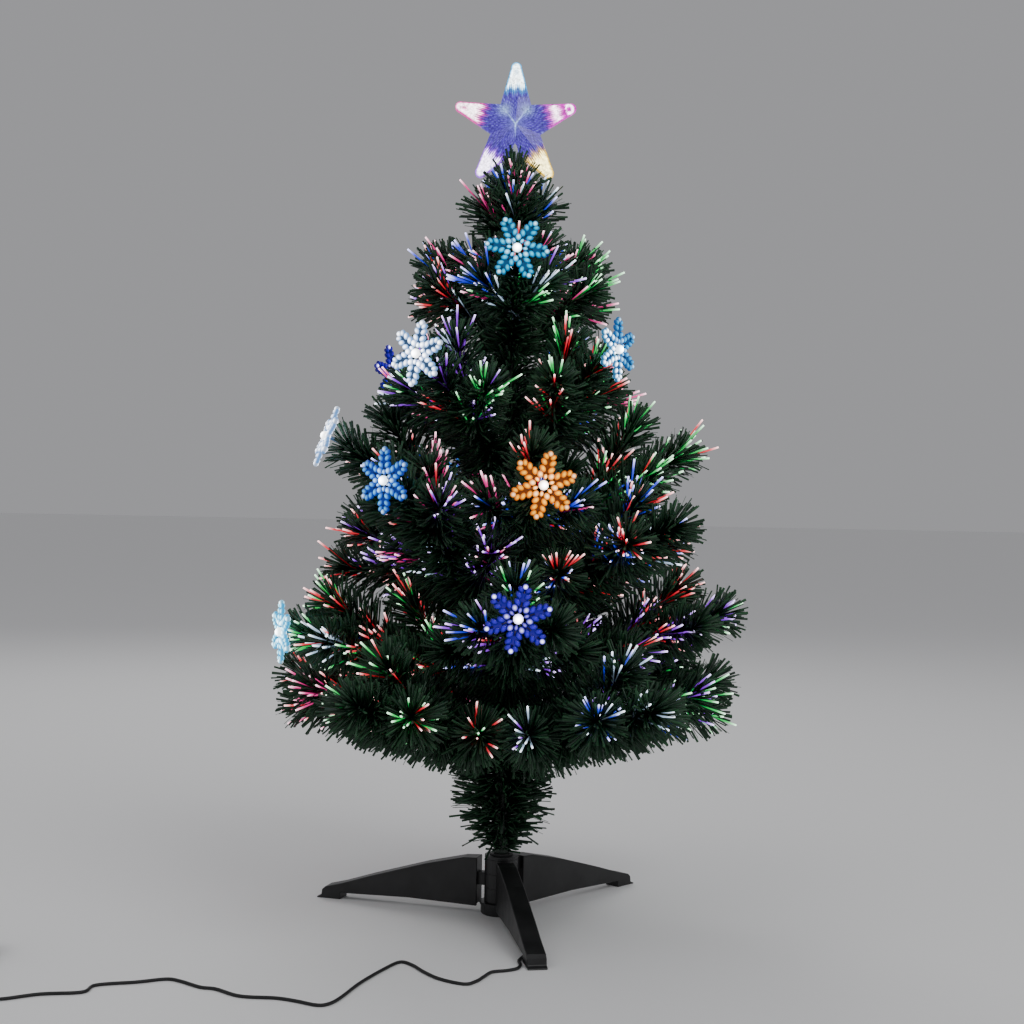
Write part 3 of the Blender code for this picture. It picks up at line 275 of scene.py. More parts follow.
CORD_DIAMETER = 3.0 * MM
CORD_GAP = 0.1 * MM
CORD_LIE = CORD_DIAMETER / 2 + CORD_GAP
COIL_CENTRE = (-470.0 * MM, -297.2 * MM)
COIL_OUTER_RADIUS = 22.9 * MM
COIL_STEP = 3.6 * MM
COIL_LAYER_TURNS = 2.625
COIL_POINTS_PER_TURN = 36
COIL_TAIL_LENGTH = 59.0 * MM
COIL_TAIL_SHARES = (0.25, 0.45, 0.65, 0.8, 0.93, 1.0)
ADAPTOR_AXIS_HEIGHT = 13.0 * MM
# Its route, down from the hub and then on the floor, in millimetres
CORD_DROP_MM = ((6.2, -35.3, 4.6), (7.3, -41.5, 4.2), (9.2, -52.0, 2.5))
CORD_FLOOR_MM = (
    (12.0, -66.0), (16.5, -86.0), (19.0, -106.0), (22.0, -127.0), (25.0, -145.0), (23.0, -163.0),
    (18.4, -178.5), (19.6, -191.0), (17.0, -203.0), (7.0, -210.5), (-6.6, -216.1), (-14.0, -231.0),
    (-20.6, -245.0), (-31.2, -253.4), (-53.3, -240.1), (-68.8, -220.0), (-81.0, -199.0), (-92.9, -190.4),
    (-106.0, -213.2), (-124.0, -256.3), (-137.1, -299.4), (-145.5, -316.1), (-155.4, -319.3),
    (-173.7, -309.7), (-191.9, -302.7), (-223.6, -299.2), (-247.8, -281.2), (-262.7, -276.5),
    (-283.7, -260.5), (-297.3, -255.5), (-321.6, -265.8), (-354.2, -276.4), (-360.9, -296.5),
    (-395.0, -304.1), (-424.3, -319.5), (-447.0, -320.1), (-466.7, -320.1),
)


def smooth_through(points, steps=8):
    """A Catmull-Rom curve through the points, as many short steps."""
    ends = [2 * points[0] - points[1]] + points + [2 * points[-1] - points[-2]]
    line = []
    for before, start, end, after in zip(ends, ends[1:], ends[2:], ends[3:]):
        once = end - before
        squared = 2 * before - 5 * start + 4 * end - after
        cubed = 3 * start - before - 3 * end + after
        for i in range(steps):
            t = i / steps
            line.append(start + 0.5 * (once * t + squared * t**2 + cubed * t**3))
    return line + [points[-1]]


def coil_points():
    """The wound stretch: in to the middle on the floor, out again on top, then on to the adaptor."""
    turns = 2 * COIL_LAYER_TURNS
    count = round(turns * COIL_POINTS_PER_TURN)
    points = []
    for i in range(count + 1):
        turn = turns * i / count
        radius = COIL_OUTER_RADIUS - min(turn, turns - turn) * COIL_STEP
        climb = smooth_step(2 * (turn - COIL_LAYER_TURNS) + 0.5)
        angle = radians(-90) - tau * turn
        x = COIL_CENTRE[0] + radius * cos(angle)
        y = COIL_CENTRE[1] + radius * sin(angle)
        points.append(Vector((x, y, CORD_LIE + COIL_STEP * climb)))
    last = points[-1]
    rise = ADAPTOR_AXIS_HEIGHT - last.z
    for share in COIL_TAIL_SHARES:
        points.append(last + Vector((0.0, COIL_TAIL_LENGTH * share, rise * smooth_step(share))))
    return points


def make_cord():
    """The whole lead as one curve, from the strain relief to the adaptor."""
    route = [Vector(place) * MM for place in CORD_DROP_MM]
    route += [Vector((x * MM, y * MM, CORD_LIE)) for x, y in CORD_FLOOR_MM]
    points = smooth_through(route) + coil_points()
    curve = bpy.data.curves.new("supply_lead", "CURVE")
    curve.dimensions = "3D"
    curve.bevel_depth = CORD_DIAMETER / 2
    curve.bevel_resolution = 4
    curve.use_fill_caps = True
    spline = curve.splines.new("POLY")
    spline.points.add(len(points) - 1)
    for point, place in zip(spline.points, points):
        point.co = (*place, 1.0)
    curve.materials.append(CORD_JACKET)
    lead = add_object("supply_lead", curve)
    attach(lead, "base")
    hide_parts("power_cord", "cord_coil")


make_cord()


# Meshes from arrays


def mesh_piece(name, verts, polygons, material, body, slot, values=None, colours=None, smooth=False):
    """An object from points and faces. Polygons is a list of arrays of faces with as many corners."""
    mesh = bpy.data.meshes.new(name)
    mesh.vertices.add(len(verts))
    mesh.vertices.foreach_set("co", np.ascontiguousarray(verts, np.float32).ravel())
    corners = np.concatenate([faces.ravel() for faces in polygons])
    sizes = np.concatenate([np.full(len(faces), faces.shape[1]) for faces in polygons])
    mesh.loops.add(len(corners))
    mesh.loops.foreach_set("vertex_index", corners.astype(np.int32))
    mesh.polygons.add(len(sizes))
    starts = np.concatenate([[0], np.cumsum(sizes)[:-1]])
    mesh.polygons.foreach_set("loop_start", starts.astype(np.int32))
    mesh.update(calc_edges=True)
    mesh.validate()
    for key, data in (values or {}).items():
        mesh.attributes.new(key, "FLOAT", "POINT").data.foreach_set("value", data.astype(np.float32))
    for key, data in (colours or {}).items():
        full = np.concatenate([data, np.ones((len(data), 1))], axis=1).astype(np.float32)
        mesh.attributes.new(key, "FLOAT_COLOR", "POINT").data.foreach_set("color", full.ravel())
    mesh.materials.append(material)
    if smooth:
        mesh.shade_smooth()
    piece = add_object(name, mesh)
    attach(piece, body)
    return piece


def unit(vectors):
    """Directions of length one."""
    return vectors / np.linalg.norm(vectors, axis=-1, keepdims=True)


def across(ways):
    """Two directions square to each direction, right-handed with it."""
    helper = np.where(np.abs(ways[:, 2:3]) < 0.9, (0.0, 0.0, 1.0), (1.0, 0.0, 0.0))
    first = unit(np.cross(helper, ways))
    return first, np.cross(ways, first)


# Star: its sizes, and places along and aside of its nearest arm

STAR_CENTRE = Vector((0.0, 0.0, 833.0 * MM))
STAR_ARM_COUNT = 5
ARM_DEGREES = 360 / STAR_ARM_COUNT
STAR_RADIUS = 67.0 * MM
STAR_INNER = 27.5 * MM
STAR_TIP = 5.5 * MM
STAR_RIM = 2.65 * MM
STAR_RIDGE = 8.0 * MM
STAR_INNER_ALONG = STAR_INNER * cos(pi / STAR_ARM_COUNT)
STAR_INNER_SIDE = STAR_INNER * sin(pi / STAR_ARM_COUNT)
STAR_TIP_CENTRE = STAR_RADIUS - STAR_TIP
STAR_TAPER = (STAR_TIP - STAR_INNER_SIDE) / (STAR_TIP_CENTRE - STAR_INNER_ALONG)


def arm_place(x, z):
    """How far along the nearest arm of the star a place is, and how far aside of it."""
    turn = (np.degrees(np.arctan2(z, x)) - 90 + ARM_DEGREES / 2) % ARM_DEGREES - ARM_DEGREES / 2
    radius = np.hypot(x, z)
    return radius * np.cos(np.radians(turn)), radius * np.sin(np.radians(turn))


def arm_edge(along):
    """Half the width of an arm along its straight sides."""
    return STAR_INNER_SIDE + (along - STAR_INNER_ALONG) * STAR_TAPER


# Colours of the strands, and the lights of the snowflakes

RED = (1.0, 0.015, 0.04)
PINK = (1.0, 0.03, 0.32)
GREEN = (0.01, 0.75, 0.12)
BLUE = (0.02, 0.05, 1.0)
PURPLE = (0.35, 0.03, 1.0)
ICE = (0.55, 0.75, 1.0)
STRAND_COLOURS = (RED, PINK, GREEN, BLUE, PURPLE, ICE)

# A snowflake's light: its tint, the colour of its beads' painted highlights, its strength, how much its left
# half blazes, how much its plate glows between the beads, and how white its tips are
WHITE = ((0.16, 0.38, 0.80), (1.0, 1.0, 1.0), 2.6, 0.0, 0.05, 0.8)
SKY = ((0.0, 0.08, 0.85), (0.12, 0.60, 1.0), 0.90, 0.0, 0.30, 0.6)
SPLIT_SKY = ((0.0, 0.20, 0.75), (0.08, 0.60, 1.0), 0.85, 1.0, 0.30, 0.6)
TEAL = ((0.0, 0.26, 0.70), (0.0, 0.74, 1.0), 0.85, 0.0, 0.25, 0.7)
CYAN = ((0.0, 0.45, 0.90), (0.50, 0.94, 1.0), 2.6, 0.0, 0.3, 0.8)
AMBER = ((0.95, 0.19, 0.0), (1.0, 0.50, 0.0), 1.40, 0.0, 0.08, 0.5)
VIOLET = ((0.03, 0.0, 0.62), (0.04, 0.0, 1.0), 0.42, 0.0, 0.9, 1.0)


# The branches by tier: reach share and rise, then the azimuth and the two strand colours of each branch,
# and of one with a snowflake also its own reach share and rise, and the snowflake's light

WIDEST_REACH = 235.0 * MM
TIERS = (
    (1.00, 16.0, (
        (-126.0, RED, GREEN), (-54.0, BLUE, ICE), (18.0, GREEN, PURPLE),
        (90.0, PINK, BLUE), (162.0, RED, PINK),
    )),
    (0.96, 19.0, (
        (-87.2, BLUE, PURPLE, 0.900, 22.2, VIOLET), (3.0, RED, PURPLE),
        (93.0, GREEN, ICE, 0.930, 20.0, AMBER), (-172.6, RED, GREEN, 0.934, 13.7, CYAN),
    )),
    (0.87, 27.0, (
        (-128.2, PURPLE, PINK, 0.753, 39.6, SKY), (-38.0, RED, BLUE),
        (52.0, BLUE, GREEN, 0.860, 29.0, WHITE), (142.0, PURPLE, RED),
    )),
    (0.79, 31.0, (
        (-80.4, BLUE, PINK, 0.762, 21.0, AMBER), (10.0, RED, GREEN),
        (105.0, PINK, PURPLE, 0.740, 28.0, SKY), (-165.0, RED, BLUE, 0.762, 32.7, WHITE),
    )),
    (0.66, 38.0, (
        (-125.6, PURPLE, GREEN, 0.604, 40.1, WHITE), (-37.1, GREEN, RED, 0.506, 48.7, SPLIT_SKY),
        (55.0, PINK, BLUE), (147.0, BLUE, PINK, 0.600, 40.0, VIOLET),
    )),
    (0.40, 50.0, ((-87.6, ICE, GREEN, 0.345, 53.9, TEAL), (32.0, GREEN, PINK), (152.0, RED, BLUE))),
)
FLAKE_RADIUS = 33.0 * MM
FLAKE_STAND_OFF = 14.0 * MM
FLAKE_BALL = 2.5 * MM
# Snowflakes that look a little aside or up from their branch's azimuth, by branch, in degrees
FLAKE_BENDS = {9: (16, 0), 17: (0, 20)}

# The twigs of a branch, by tier: share along it, slants sideways and upwards in degrees, share of its length
LONG_TWIGS = (
    (0.24, 45, 0, 0.40), (0.24, -45, 0, 0.40), (0.44, 0, 24, 0.46), (0.64, 38, 0, 0.27), (0.64, -38, 0, 0.27),
)
MIDDLE_TWIGS = ((0.42, 38, 0, 0.40), (0.42, -38, 0, 0.40), (0.42, 0, 30, 0.50))
UPPER_TWIGS = ((0.42, 42, 0, 0.42), (0.42, -42, 0, 0.42), (0.42, 0, 30, 0.50), (0.42, 0, -32, 0.42))
TOP_TWIGS = ((0.42, 42, 0, 0.42), (0.42, -42, 0, 0.42), (0.42, 0, 12, 0.55), (0.42, 0, -32, 0.42))
TIER_TWIGS = (LONG_TWIGS, LONG_TWIGS, LONG_TWIGS, MIDDLE_TWIGS, UPPER_TWIGS, TOP_TWIGS)
# Loose sprigs of film that fill the outline at the sides, by branch, as twigs above
LOW_SPRIG = ((0.55, 0, -17, 0.42),)
HIGH_SPRIG = ((0.20, 0, 44, 0.40),)
SPRIGS = {
    3: LOW_SPRIG, 5: LOW_SPRIG, 7: HIGH_SPRIG, 9: HIGH_SPRIG,
    13: ((0.34, 42, -14, 0.52),), 15: ((0.14, 0, 40, 0.36),),
}


def heading(turn, climb=0.0):
    """A direction, from its turn round the pole and its climb."""
    return Vector((cos(turn) * cos(climb), sin(turn) * cos(climb), sin(climb)))


class Branch:
    """Where one branch and its snowflake are, worked out from its hinge."""

    def __init__(self, number, tier, azimuth, strand_lights, reach_share, rise, flake_light):
        self.number = number
        self.name = f"branch_{number:02d}"
        self.tier = tier
        self.strand_lights = strand_lights
        self.flake_light = flake_light
        joint = next(j for j in frame["joints"] if j["child"] == self.name)
        self.hinge = Vector(joint["pos_m"])
        azimuth, rise = radians(azimuth), radians(rise)
        self.axis = heading(azimuth, rise)
        self.side = heading(azimuth + pi / 2)
        self.up = self.axis.cross(self.side)
        self.length = (WIDEST_REACH * reach_share - self.hinge.xy.length) / cos(rise)
        self.tip = self.hinge + self.axis * self.length
        aside, climb = (radians(angle) for angle in FLAKE_BENDS.get(number, (0, 0)))
        self.face = heading(azimuth + aside, climb)
        self.flake = self.tip + self.axis * FLAKE_BALL + self.face * FLAKE_STAND_OFF

    def slanted(self, sideways, upwards):
        """The direction of a twig, slanted from the branch by two angles in degrees."""
        sideways, upwards = radians(sideways), radians(upwards)
        way = self.axis * cos(sideways) + self.side * sin(sideways)
        return (way * cos(upwards) + self.up * sin(upwards)).normalized()


def list_branches():
    """All branches, numbered from the lowest tier up."""
    branches = []
    for tier, (reach_share, rise, members) in enumerate(TIERS):
        for azimuth, first, second, *own in members:
            own = own or (reach_share, rise, None)
            branches.append(Branch(len(branches) + 1, tier, azimuth, (first, second), *own))
    return branches


BRANCHES = list_branches()
LAMP_BRANCHES = [branch for branch in BRANCHES if branch.flake_light]


# Room for the lamps: how far tinsel and strands stay behind a snowflake, round it and short of it,
# and the places along them that are tried against the star

FLAKE_GAP_BEHIND = 5 * MM
FLAKE_GAP_ROUND = 3 * MM
FLAKE_GAP_SHORT = 1 * MM
LEAST_SLOPE = 1e-6
STAR_TRIAL_SHARES = np.linspace(0.15, 1.0, 18)


def clear_of_flakes(roots, ways, lengths):
    """Shortens what would run through a snowflake, to nothing where it starts in one."""
    for branch in LAMP_BRANCHES:
        centre = np.array(branch.flake - branch.face * FLAKE_GAP_BEHIND)
        face = np.array(branch.face)
        slope = ways @ face
        slope = np.where(np.abs(slope) < LEAST_SLOPE, LEAST_SLOPE, slope)
        reach = (centre - roots) @ face / slope
        off = np.linalg.norm(roots + ways * reach[:, None] - centre, axis=1)
        hit = (reach > 0) & (reach < lengths) & (off < FLAKE_RADIUS + FLAKE_GAP_ROUND)
        lengths = np.where(hit, reach - FLAKE_GAP_SHORT, lengths)
        within = (reach <= 0) & (np.linalg.norm(roots - centre, axis=1) < FLAKE_RADIUS)
        lengths = np.where(within, 0.0, lengths)
    return lengths


def clear_of_star(roots, ways, lengths):
    """Shortens what would run through the star."""
    steps = lengths[:, None] * STAR_TRIAL_SHARES
    points = roots[:, None] + ways[:, None] * steps[:, :, None] - np.array(STAR_CENTRE)
    along, aside = arm_place(points[..., 0], points[..., 2])
    inside = (np.abs(aside) < arm_edge(along)) & (along < STAR_RADIUS)
    inside &= np.abs(points[..., 1]) < STAR_RIM + STAR_RIDGE
    first = np.where(inside.any(axis=1), inside.argmax(axis=1), len(STAR_TRIAL_SHARES))
    safe = np.array([0.0, *STAR_TRIAL_SHARES[:-1], 1.0])[first]
    return lengths * safe


def clear_of_lamps(roots, ways, lengths, shortest, *others):
    """Shortens what would run through a lamp, and leaves out what is then too short."""
    lengths = clear_of_star(roots, ways, clear_of_flakes(roots, ways, lengths))
    kept = lengths > shortest
    return [values[kept] for values in (roots, ways, lengths, *others)]


# Tinsel: flat strips of film round a stem, and lit strands in fans

STRIP_WIDTH = 2.7 * MM
STRIP_SHARES = (0.75, 1.15)
STRIP_THICKNESS = 0.35 * MM
STRIP_ROOT_SHARE = 0.8
STRIP_LENGTH_SCATTER = 0.07
SHORTEST_STRIP = 9 * MM
FEWEST_STRIPS = 4
STRIP_TONES = (0.12, 0.62)
# Painted shade on a strip's root inside the tuft, and painted light at its cut end
PAINTED_ROOT_SHADE_SHARE = 0.5
PAINTED_TIP_LIGHT_RISE = 0.3
GOLDEN_ANGLE = 2.399963
TURN_SCATTER = 0.5
STEM_LEANS = (66, 44)
LEAN_SCATTER = 8
LEAN_POWER = 1.5
TIP_SHORTENING = 0.12
TUFT_LEAST_LEAN = 4.0
TUFT_EXTRA_LEAN = 22.0
TUFT_DEPTH = 6 * MM
TUFT_LENGTH_SHARE = 0.86

# A strand, ring by ring: place along it, width, glow and how far its colour goes to white
STRAND_RADIUS = 0.6 * MM
STRAND_SIDES = 4
STRAND_SHARES = (0.0, 0.48, 0.60, 0.80, 1.0)
STRAND_WIDTHS = (0.8, 0.9, 1.2, 1.7, 1.5)
STRAND_GLOW = (0.15, 0.32, 0.70, 0.88, 1.60)
STRAND_HEAT = (0.0, 0.0, 0.0, 0.04, 0.62)
STRAND_LENGTH_SHARES = (0.78, 1.12)
SHORTEST_STRAND = 14 * MM
FAN_SPREAD = 34
FAN_HOLLOW_SHARE = 0.25
FAN_DEPTH = 14 * MM
FAN_SCATTER = 1.2 * MM
ODD_STRAND_SHARE = 0.25


def tilted(ways, turn, tilt):
    """Each direction tilted away from itself, towards its own turn round it."""
    first, second = across(ways)
    aside = first * np.cos(turn)[:, None] + second * np.sin(turn)[:, None]
    return ways * np.cos(tilt)[:, None] + aside * np.sin(tilt)[:, None]


class Brush:
    """Gathers the strips and the fans of lit strands of one piece."""

    def __init__(self):
        self.stems = []
        self.fans = []

    def stem(self, start, end, density, length, leans=STEM_LEANS, tuft=0, scatter=LEAN_SCATTER):
        """Strips round a straight stem, so many to a metre, leaning further forward towards its tip."""
        start, end = np.array(start, float), np.array(end, float)
        span = np.linalg.norm(end - start)
        axis = (end - start) / span
        count = max(FEWEST_STRIPS, round(density * span))
        place = (np.arange(count) + RNG.random(count)) / count
        turn = np.arange(count) * GOLDEN_ANGLE + RNG.normal(0.0, TURN_SCATTER, count)
        lean = leans[0] + (leans[1] - leans[0]) * place**LEAN_POWER + RNG.normal(0.0, scatter, count)
        roots = start + place[:, None] * (end - start)
        self._add(roots, axis, turn, np.radians(lean), length * (1 - TIP_SHORTENING * place**3))
        if tuft:
            tilt = np.radians(RNG.uniform(TUFT_LEAST_LEAN, leans[1] + TUFT_EXTRA_LEAN, tuft))
            roots = end - axis * RNG.uniform(0.0, TUFT_DEPTH, (tuft, 1))
            self._add(roots, axis, RNG.random(tuft) * tau, tilt, length * TUFT_LENGTH_SHARE)

    def _add(self, roots, axis, turn, tilt, length):
        """Strips at their roots, turned round the axis and tilted from it."""
        count = len(turn)
        ways = tilted(np.repeat(axis[None, :], count, 0), turn, tilt)
        scatter = RNG.normal(1.0, STRIP_LENGTH_SCATTER, count).clip(*STRIP_SHARES)
        self.stems.append((roots, ways, length * scatter))

    def fan(self, tip, axis, count, sizes, colours):
        """Strands that start behind a tip and open towards it, most in the first colour."""
        setback, length = sizes
        start = tip - axis * setback
        self.fans.append((np.array(start, float), np.array(axis, float), count, length, colours))

    def strips(self):
        """The roots, directions and lengths of all strips that clear the lamps."""
        gathered = (np.concatenate(values) for values in zip(*self.stems))
        return clear_of_lamps(*gathered, SHORTEST_STRIP)

    def strands(self):
        """The roots, directions, lengths and colours of all strands that clear the lamps."""
        parts = []
        for start, axis, count, length, colours in self.fans:
            way = np.repeat(unit(axis)[None, :], count, 0)
            turn = RNG.random(count) * tau
            tilt = np.radians(RNG.uniform(FAN_HOLLOW_SHARE, 1.0, count) * FAN_SPREAD)
            depth = way * RNG.uniform(-FAN_DEPTH, FAN_DEPTH, (count, 1))
            roots = start + depth + RNG.normal(0.0, FAN_SCATTER, (count, 3))
            lengths = length * RNG.uniform(*STRAND_LENGTH_SHARES, count)
            odd = (RNG.random(count) < ODD_STRAND_SHARE).astype(int)
            parts.append((roots, tilted(way, turn, tilt), lengths, np.array(colours)[odd]))
        roots, ways, lengths, tints = (np.concatenate(values) for values in zip(*parts))
        return clear_of_lamps(roots, ways, lengths, SHORTEST_STRAND, tints)


def strip_mesh(name, brush, body):
    """The strips as one piece of closed three-sided slivers."""
    roots, ways, lengths = brush.strips()
    count = len(roots)
    first, second = across(ways)
    twist = RNG.random(count)[:, None] * tau
    flat = first * np.cos(twist) + second * np.sin(twist)
    high = np.cross(ways, flat)
    width = (STRIP_WIDTH * RNG.uniform(*STRIP_SHARES, count))[:, None]
    corners = np.stack([-flat * width / 2, flat * width / 2, high * STRIP_THICKNESS], axis=1)
    tips = roots + ways * lengths[:, None]
    verts = np.concatenate([roots[:, None] + STRIP_ROOT_SHARE * corners, tips[:, None] + corners], axis=1)
    base = (np.arange(count) * 6)[:, None, None]
    ends = (base + np.array(((2, 1, 0), (3, 4, 5)))).reshape(-1, 3)
    sides = (base + np.array(((0, 1, 4, 3), (1, 2, 5, 4), (2, 0, 3, 5)))).reshape(-1, 4)
    tone = RNG.uniform(*STRIP_TONES, count)
    # Each strip's own random tone, with painted shade at its root and painted light at its tip
    tone_and_painted_shade = np.stack([tone * PAINTED_ROOT_SHADE_SHARE] * 3 + [tone + PAINTED_TIP_LIGHT_RISE] * 3, axis=1).ravel()
    return mesh_piece(name, verts.reshape(-1, 3), [ends, sides], TINSEL, body, "tinsel", {"tone_and_painted_shade": tone_and_painted_shade})


def rod_faces(rings, sides):
    """The quads between the rings of a rod, and its two caps."""
    quads = []
    for low in range(0, (rings - 1) * sides, sides):
        for j in range(sides):
            k = (j + 1) % sides
            quads.append((low + j, low + k, low + sides + k, low + sides + j))
    top = (rings - 1) * sides
    return quads, [tuple(range(top, top + sides)), tuple(reversed(range(sides)))]


def strand_mesh(name, brush, body):
    """The lit strands as one piece of closed rods."""
    roots, ways, lengths, tints = brush.strands()
    count = len(roots)
    first, second = across(ways)
    rings = len(STRAND_SHARES)
    verts = np.zeros((count, rings, STRAND_SIDES, 3))
    for i, (share, width) in enumerate(zip(STRAND_SHARES, STRAND_WIDTHS)):
        for j in range(STRAND_SIDES):
            angle = tau * j / STRAND_SIDES
            offset = (first * cos(angle) + second * sin(angle)) * STRAND_RADIUS * width
            verts[:, i, j] = roots + ways * (lengths * share)[:, None] + offset
    base = (np.arange(count) * rings * STRAND_SIDES)[:, None, None]
    quads, caps = rod_faces(rings, STRAND_SIDES)
    faces = (base + np.array(quads + caps)).reshape(-1, 4)
    glow = np.tile(np.repeat(STRAND_GLOW, STRAND_SIDES), count)
    heat = np.tile(np.repeat(STRAND_HEAT, STRAND_SIDES), count)[:, None]
    tint = blended(np.repeat(tints, rings * STRAND_SIDES, 0), 1.0, heat)
    return mesh_piece(
        name, verts.reshape(-1, 3), [faces], STRANDS, body, "fibre_clear", {"glow": glow}, {"tint": tint}
    )


# A branch's tinsel: strips to a metre, their length on the lowest tier and how much it falls by tier, in
# millimetres, then strips in a tuft, and bare lengths at the hinge and behind a snowflake

BRANCH_DENSITY = 3000
BRANCH_STRIP_MM = 41
STRIP_FALL_MM = 1.2
TWIG_STRIP_SHARE = 0.95
BRANCH_TUFT = 34
FLAKE_BRANCH_TUFT = 10
TWIG_TUFT = 28
BARE_ROOT = 2 * MM
BARE_TIP = 10 * MM

# A branch's fans: how far behind a tip they start and their length, how often a tip has one, and how many
# strands they have
BRANCH_FAN = (22 * MM, 48 * MM)
FAN_CHANCE = 0.85
TWIG_FAN_SHARE = 0.45
PLAIN_FAN = (7, 12)
FULL_FAN = (12, 18)
# Branches with full fans: those at the sides of the photograph
FULL_FAN_BRANCHES = (3, 5, 7, 9, 10, 11, 15, 20)
# How often a fan has its branch's second colour or a strange one, and its odd strands the colour left over
SECOND_COLOUR_CHANCE = 0.42
STRANGE_COLOUR_CHANCE = 0.15
OTHER_COLOUR_CHANCE = 0.5


def strand_colours(lights):
    """The main colour of a fan, from the two that feed this stretch, and the colour of its odd strands."""
    first = int(RNG.random() < SECOND_COLOUR_CHANCE)
    strange = STRAND_COLOURS[int(RNG.integers(len(STRAND_COLOURS)))]
    if RNG.random() < STRANGE_COLOUR_CHANCE:
        return strange, lights[first]
    odd = lights[1 - first] if RNG.random() < OTHER_COLOUR_CHANCE else strange
    return lights[first], odd


def dress(brush, name, body, node):
    """The tinsel and strands of a brush, in place of a solid."""
    tinsel = strip_mesh(name + "_tinsel", brush, body)
    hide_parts(node)
    strands = strand_mesh(name + "_strands", brush, body)
    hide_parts(node)


def make_branch(branch):
    """A branch and its twigs, with their tinsel and lit strands."""
    brush = Brush()
    strip = (BRANCH_STRIP_MM - STRIP_FALL_MM * branch.tier) * MM
    start = branch.hinge + branch.axis * BARE_ROOT
    end = branch.tip - branch.axis * (BARE_TIP if branch.flake_light else 0.0)
    tuft = FLAKE_BRANCH_TUFT if branch.flake_light else BRANCH_TUFT
    brush.stem(start, end, BRANCH_DENSITY, strip, tuft=tuft)
    tips = [(end, branch.axis)]
    for place, sideways, upwards, share in TIER_TWIGS[branch.tier] + SPRIGS.get(branch.number, ()):
        if branch.flake_light and upwards < 0:
            continue
        way = branch.slanted(sideways, upwards)
        root = branch.hinge + branch.axis * branch.length * place
        twig = way * branch.length * share
        brush.stem(root, root + twig, BRANCH_DENSITY, strip * TWIG_STRIP_SHARE, tuft=TWIG_TUFT)
        tips += [(root + twig, way), (root + twig * TWIG_FAN_SHARE, way)]
    fewest, most = FULL_FAN if branch.number in FULL_FAN_BRANCHES else PLAIN_FAN
    for tip, way in tips:
        if RNG.random() < FAN_CHANCE:
            count = int(RNG.integers(fewest, most + 1))
            brush.fan(tip, way, count, BRANCH_FAN, strand_colours(branch.strand_lights))
    dress(brush, branch.name, branch.name, branch.name)


# Tinsel round the pole, stretch by stretch: bottom, top and strip length in millimetres, and the lean of the
# strips at its two ends in degrees; then strips to a metre, and the scatter of their lean where it is its own

GARLAND_STRETCHES = (
    (66, 77, 19, 72, 72), (77, 90, 32, 76, 76), (90, 108, 44, 80, 80), (108, 166, 54, 84, 84),
)
GARLAND_DENSITY = 9000
GARLAND_SCATTER = 15
POLE_STRETCHES = ((166, 600, 38, 76, 76),)
POLE_DENSITY = 5200
POLE_SCATTER = 16
CROWN_STRETCHES = ((600, 700, 38, 68, 60), (700, 748, 38, 60, 46), (748, 774, 40, 46, 16))
CROWN_DENSITY = 3400
# The crown's twigs: azimuth, root height, lean from upright and length
CROWN_TWIGS = (
    (-120, 640, 46, 62), (-50, 652, 44, 62), (22, 642, 46, 62), (95, 650, 44, 62), (168, 645, 46, 62),
    (-158, 700, 34, 52), (-22, 704, 36, 50), (62, 698, 36, 52), (118, 702, 34, 52), (-88, 706, 30, 44),
    (-125, 728, 24, 36), (-62, 730, 22, 38), (100, 730, 24, 36),
)
CROWN_TWIG_DENSITY = 2500
CROWN_TWIG_STRIP = 37 * MM
CROWN_TWIG_TUFT = 16
CROWN_FAN_COUNT = 8
CROWN_FAN = (18 * MM, 42 * MM)
# The steep tufts before and behind the star's foot
FOOT_STRETCHES = ((756, 776, 36, 24, 9),)
FOOT_DENSITY = 2600
FOOT_PLACES = (-11.5 * MM, 11.5 * MM)


def wrap(brush, stretches, density, scatter=LEAN_SCATTER, y=0.0):
    """Tinsel on upright stretches, on the pole or before or behind it."""
    for bottom, top, strip, *leans in stretches:
        brush.stem((0, y, bottom * MM), (0, y, top * MM), density, strip * MM, leans, scatter=scatter)


def make_sleeve(name, stretches, density, scatter):
    """A piece of tinsel on upright stretches of the pole."""
    brush = Brush()
    wrap(brush, stretches, density, scatter)
    return strip_mesh(name, brush, "tree")


def make_crown():
    """The tinsel and strands of the crown: round the pole, on its twigs, and at the star's foot."""
    crown = Brush()
    wrap(crown, CROWN_STRETCHES, CROWN_DENSITY)
    for azimuth, height, lean, length in CROWN_TWIGS:
        way = heading(radians(azimuth), radians(90 - lean))
        root = Vector((0, 0, height * MM))
        tip = root + way * length * MM
        crown.stem(root, tip, CROWN_TWIG_DENSITY, CROWN_TWIG_STRIP, tuft=CROWN_TWIG_TUFT)
        crown.fan(tip, way, CROWN_FAN_COUNT, CROWN_FAN, strand_colours((PINK, BLUE)))
    for place in FOOT_PLACES:
        wrap(crown, FOOT_STRETCHES, FOOT_DENSITY, y=place)
    dress(crown, "crown", "tree", "crown_foliage")


for each_branch in BRANCHES:
    make_branch(each_branch)
garland = make_sleeve("trunk_tinsel", GARLAND_STRETCHES, GARLAND_DENSITY, GARLAND_SCATTER)
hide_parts("trunk_garland")
make_sleeve("pole_tinsel", POLE_STRETCHES, POLE_DENSITY, POLE_SCATTER)
make_crown()


# Closed shapes for the snowflakes

BAR_CORNERS = ((-1, -1), (1, -1), (1, 1), (-1, 1))
# A bead's glow at its rim, as a share of that on its face: painted shade round each bead
PAINTED_RIM_SHADE_GLOW = 0.45


def closed_faces(rings, sides):
    """The triangles and quads of a closed shape: its first point, then rings, then its last point."""
    last = rings * sides + 1
    triangles = []
    for j in range(sides):
        k = (j + 1) % sides
        triangles += [(0, 1 + k, 1 + j), (last, last - sides + j, last - sides + k)]
    quads, _ = rod_faces(rings, sides)
    return np.array(triangles), np.array(quads) + 1


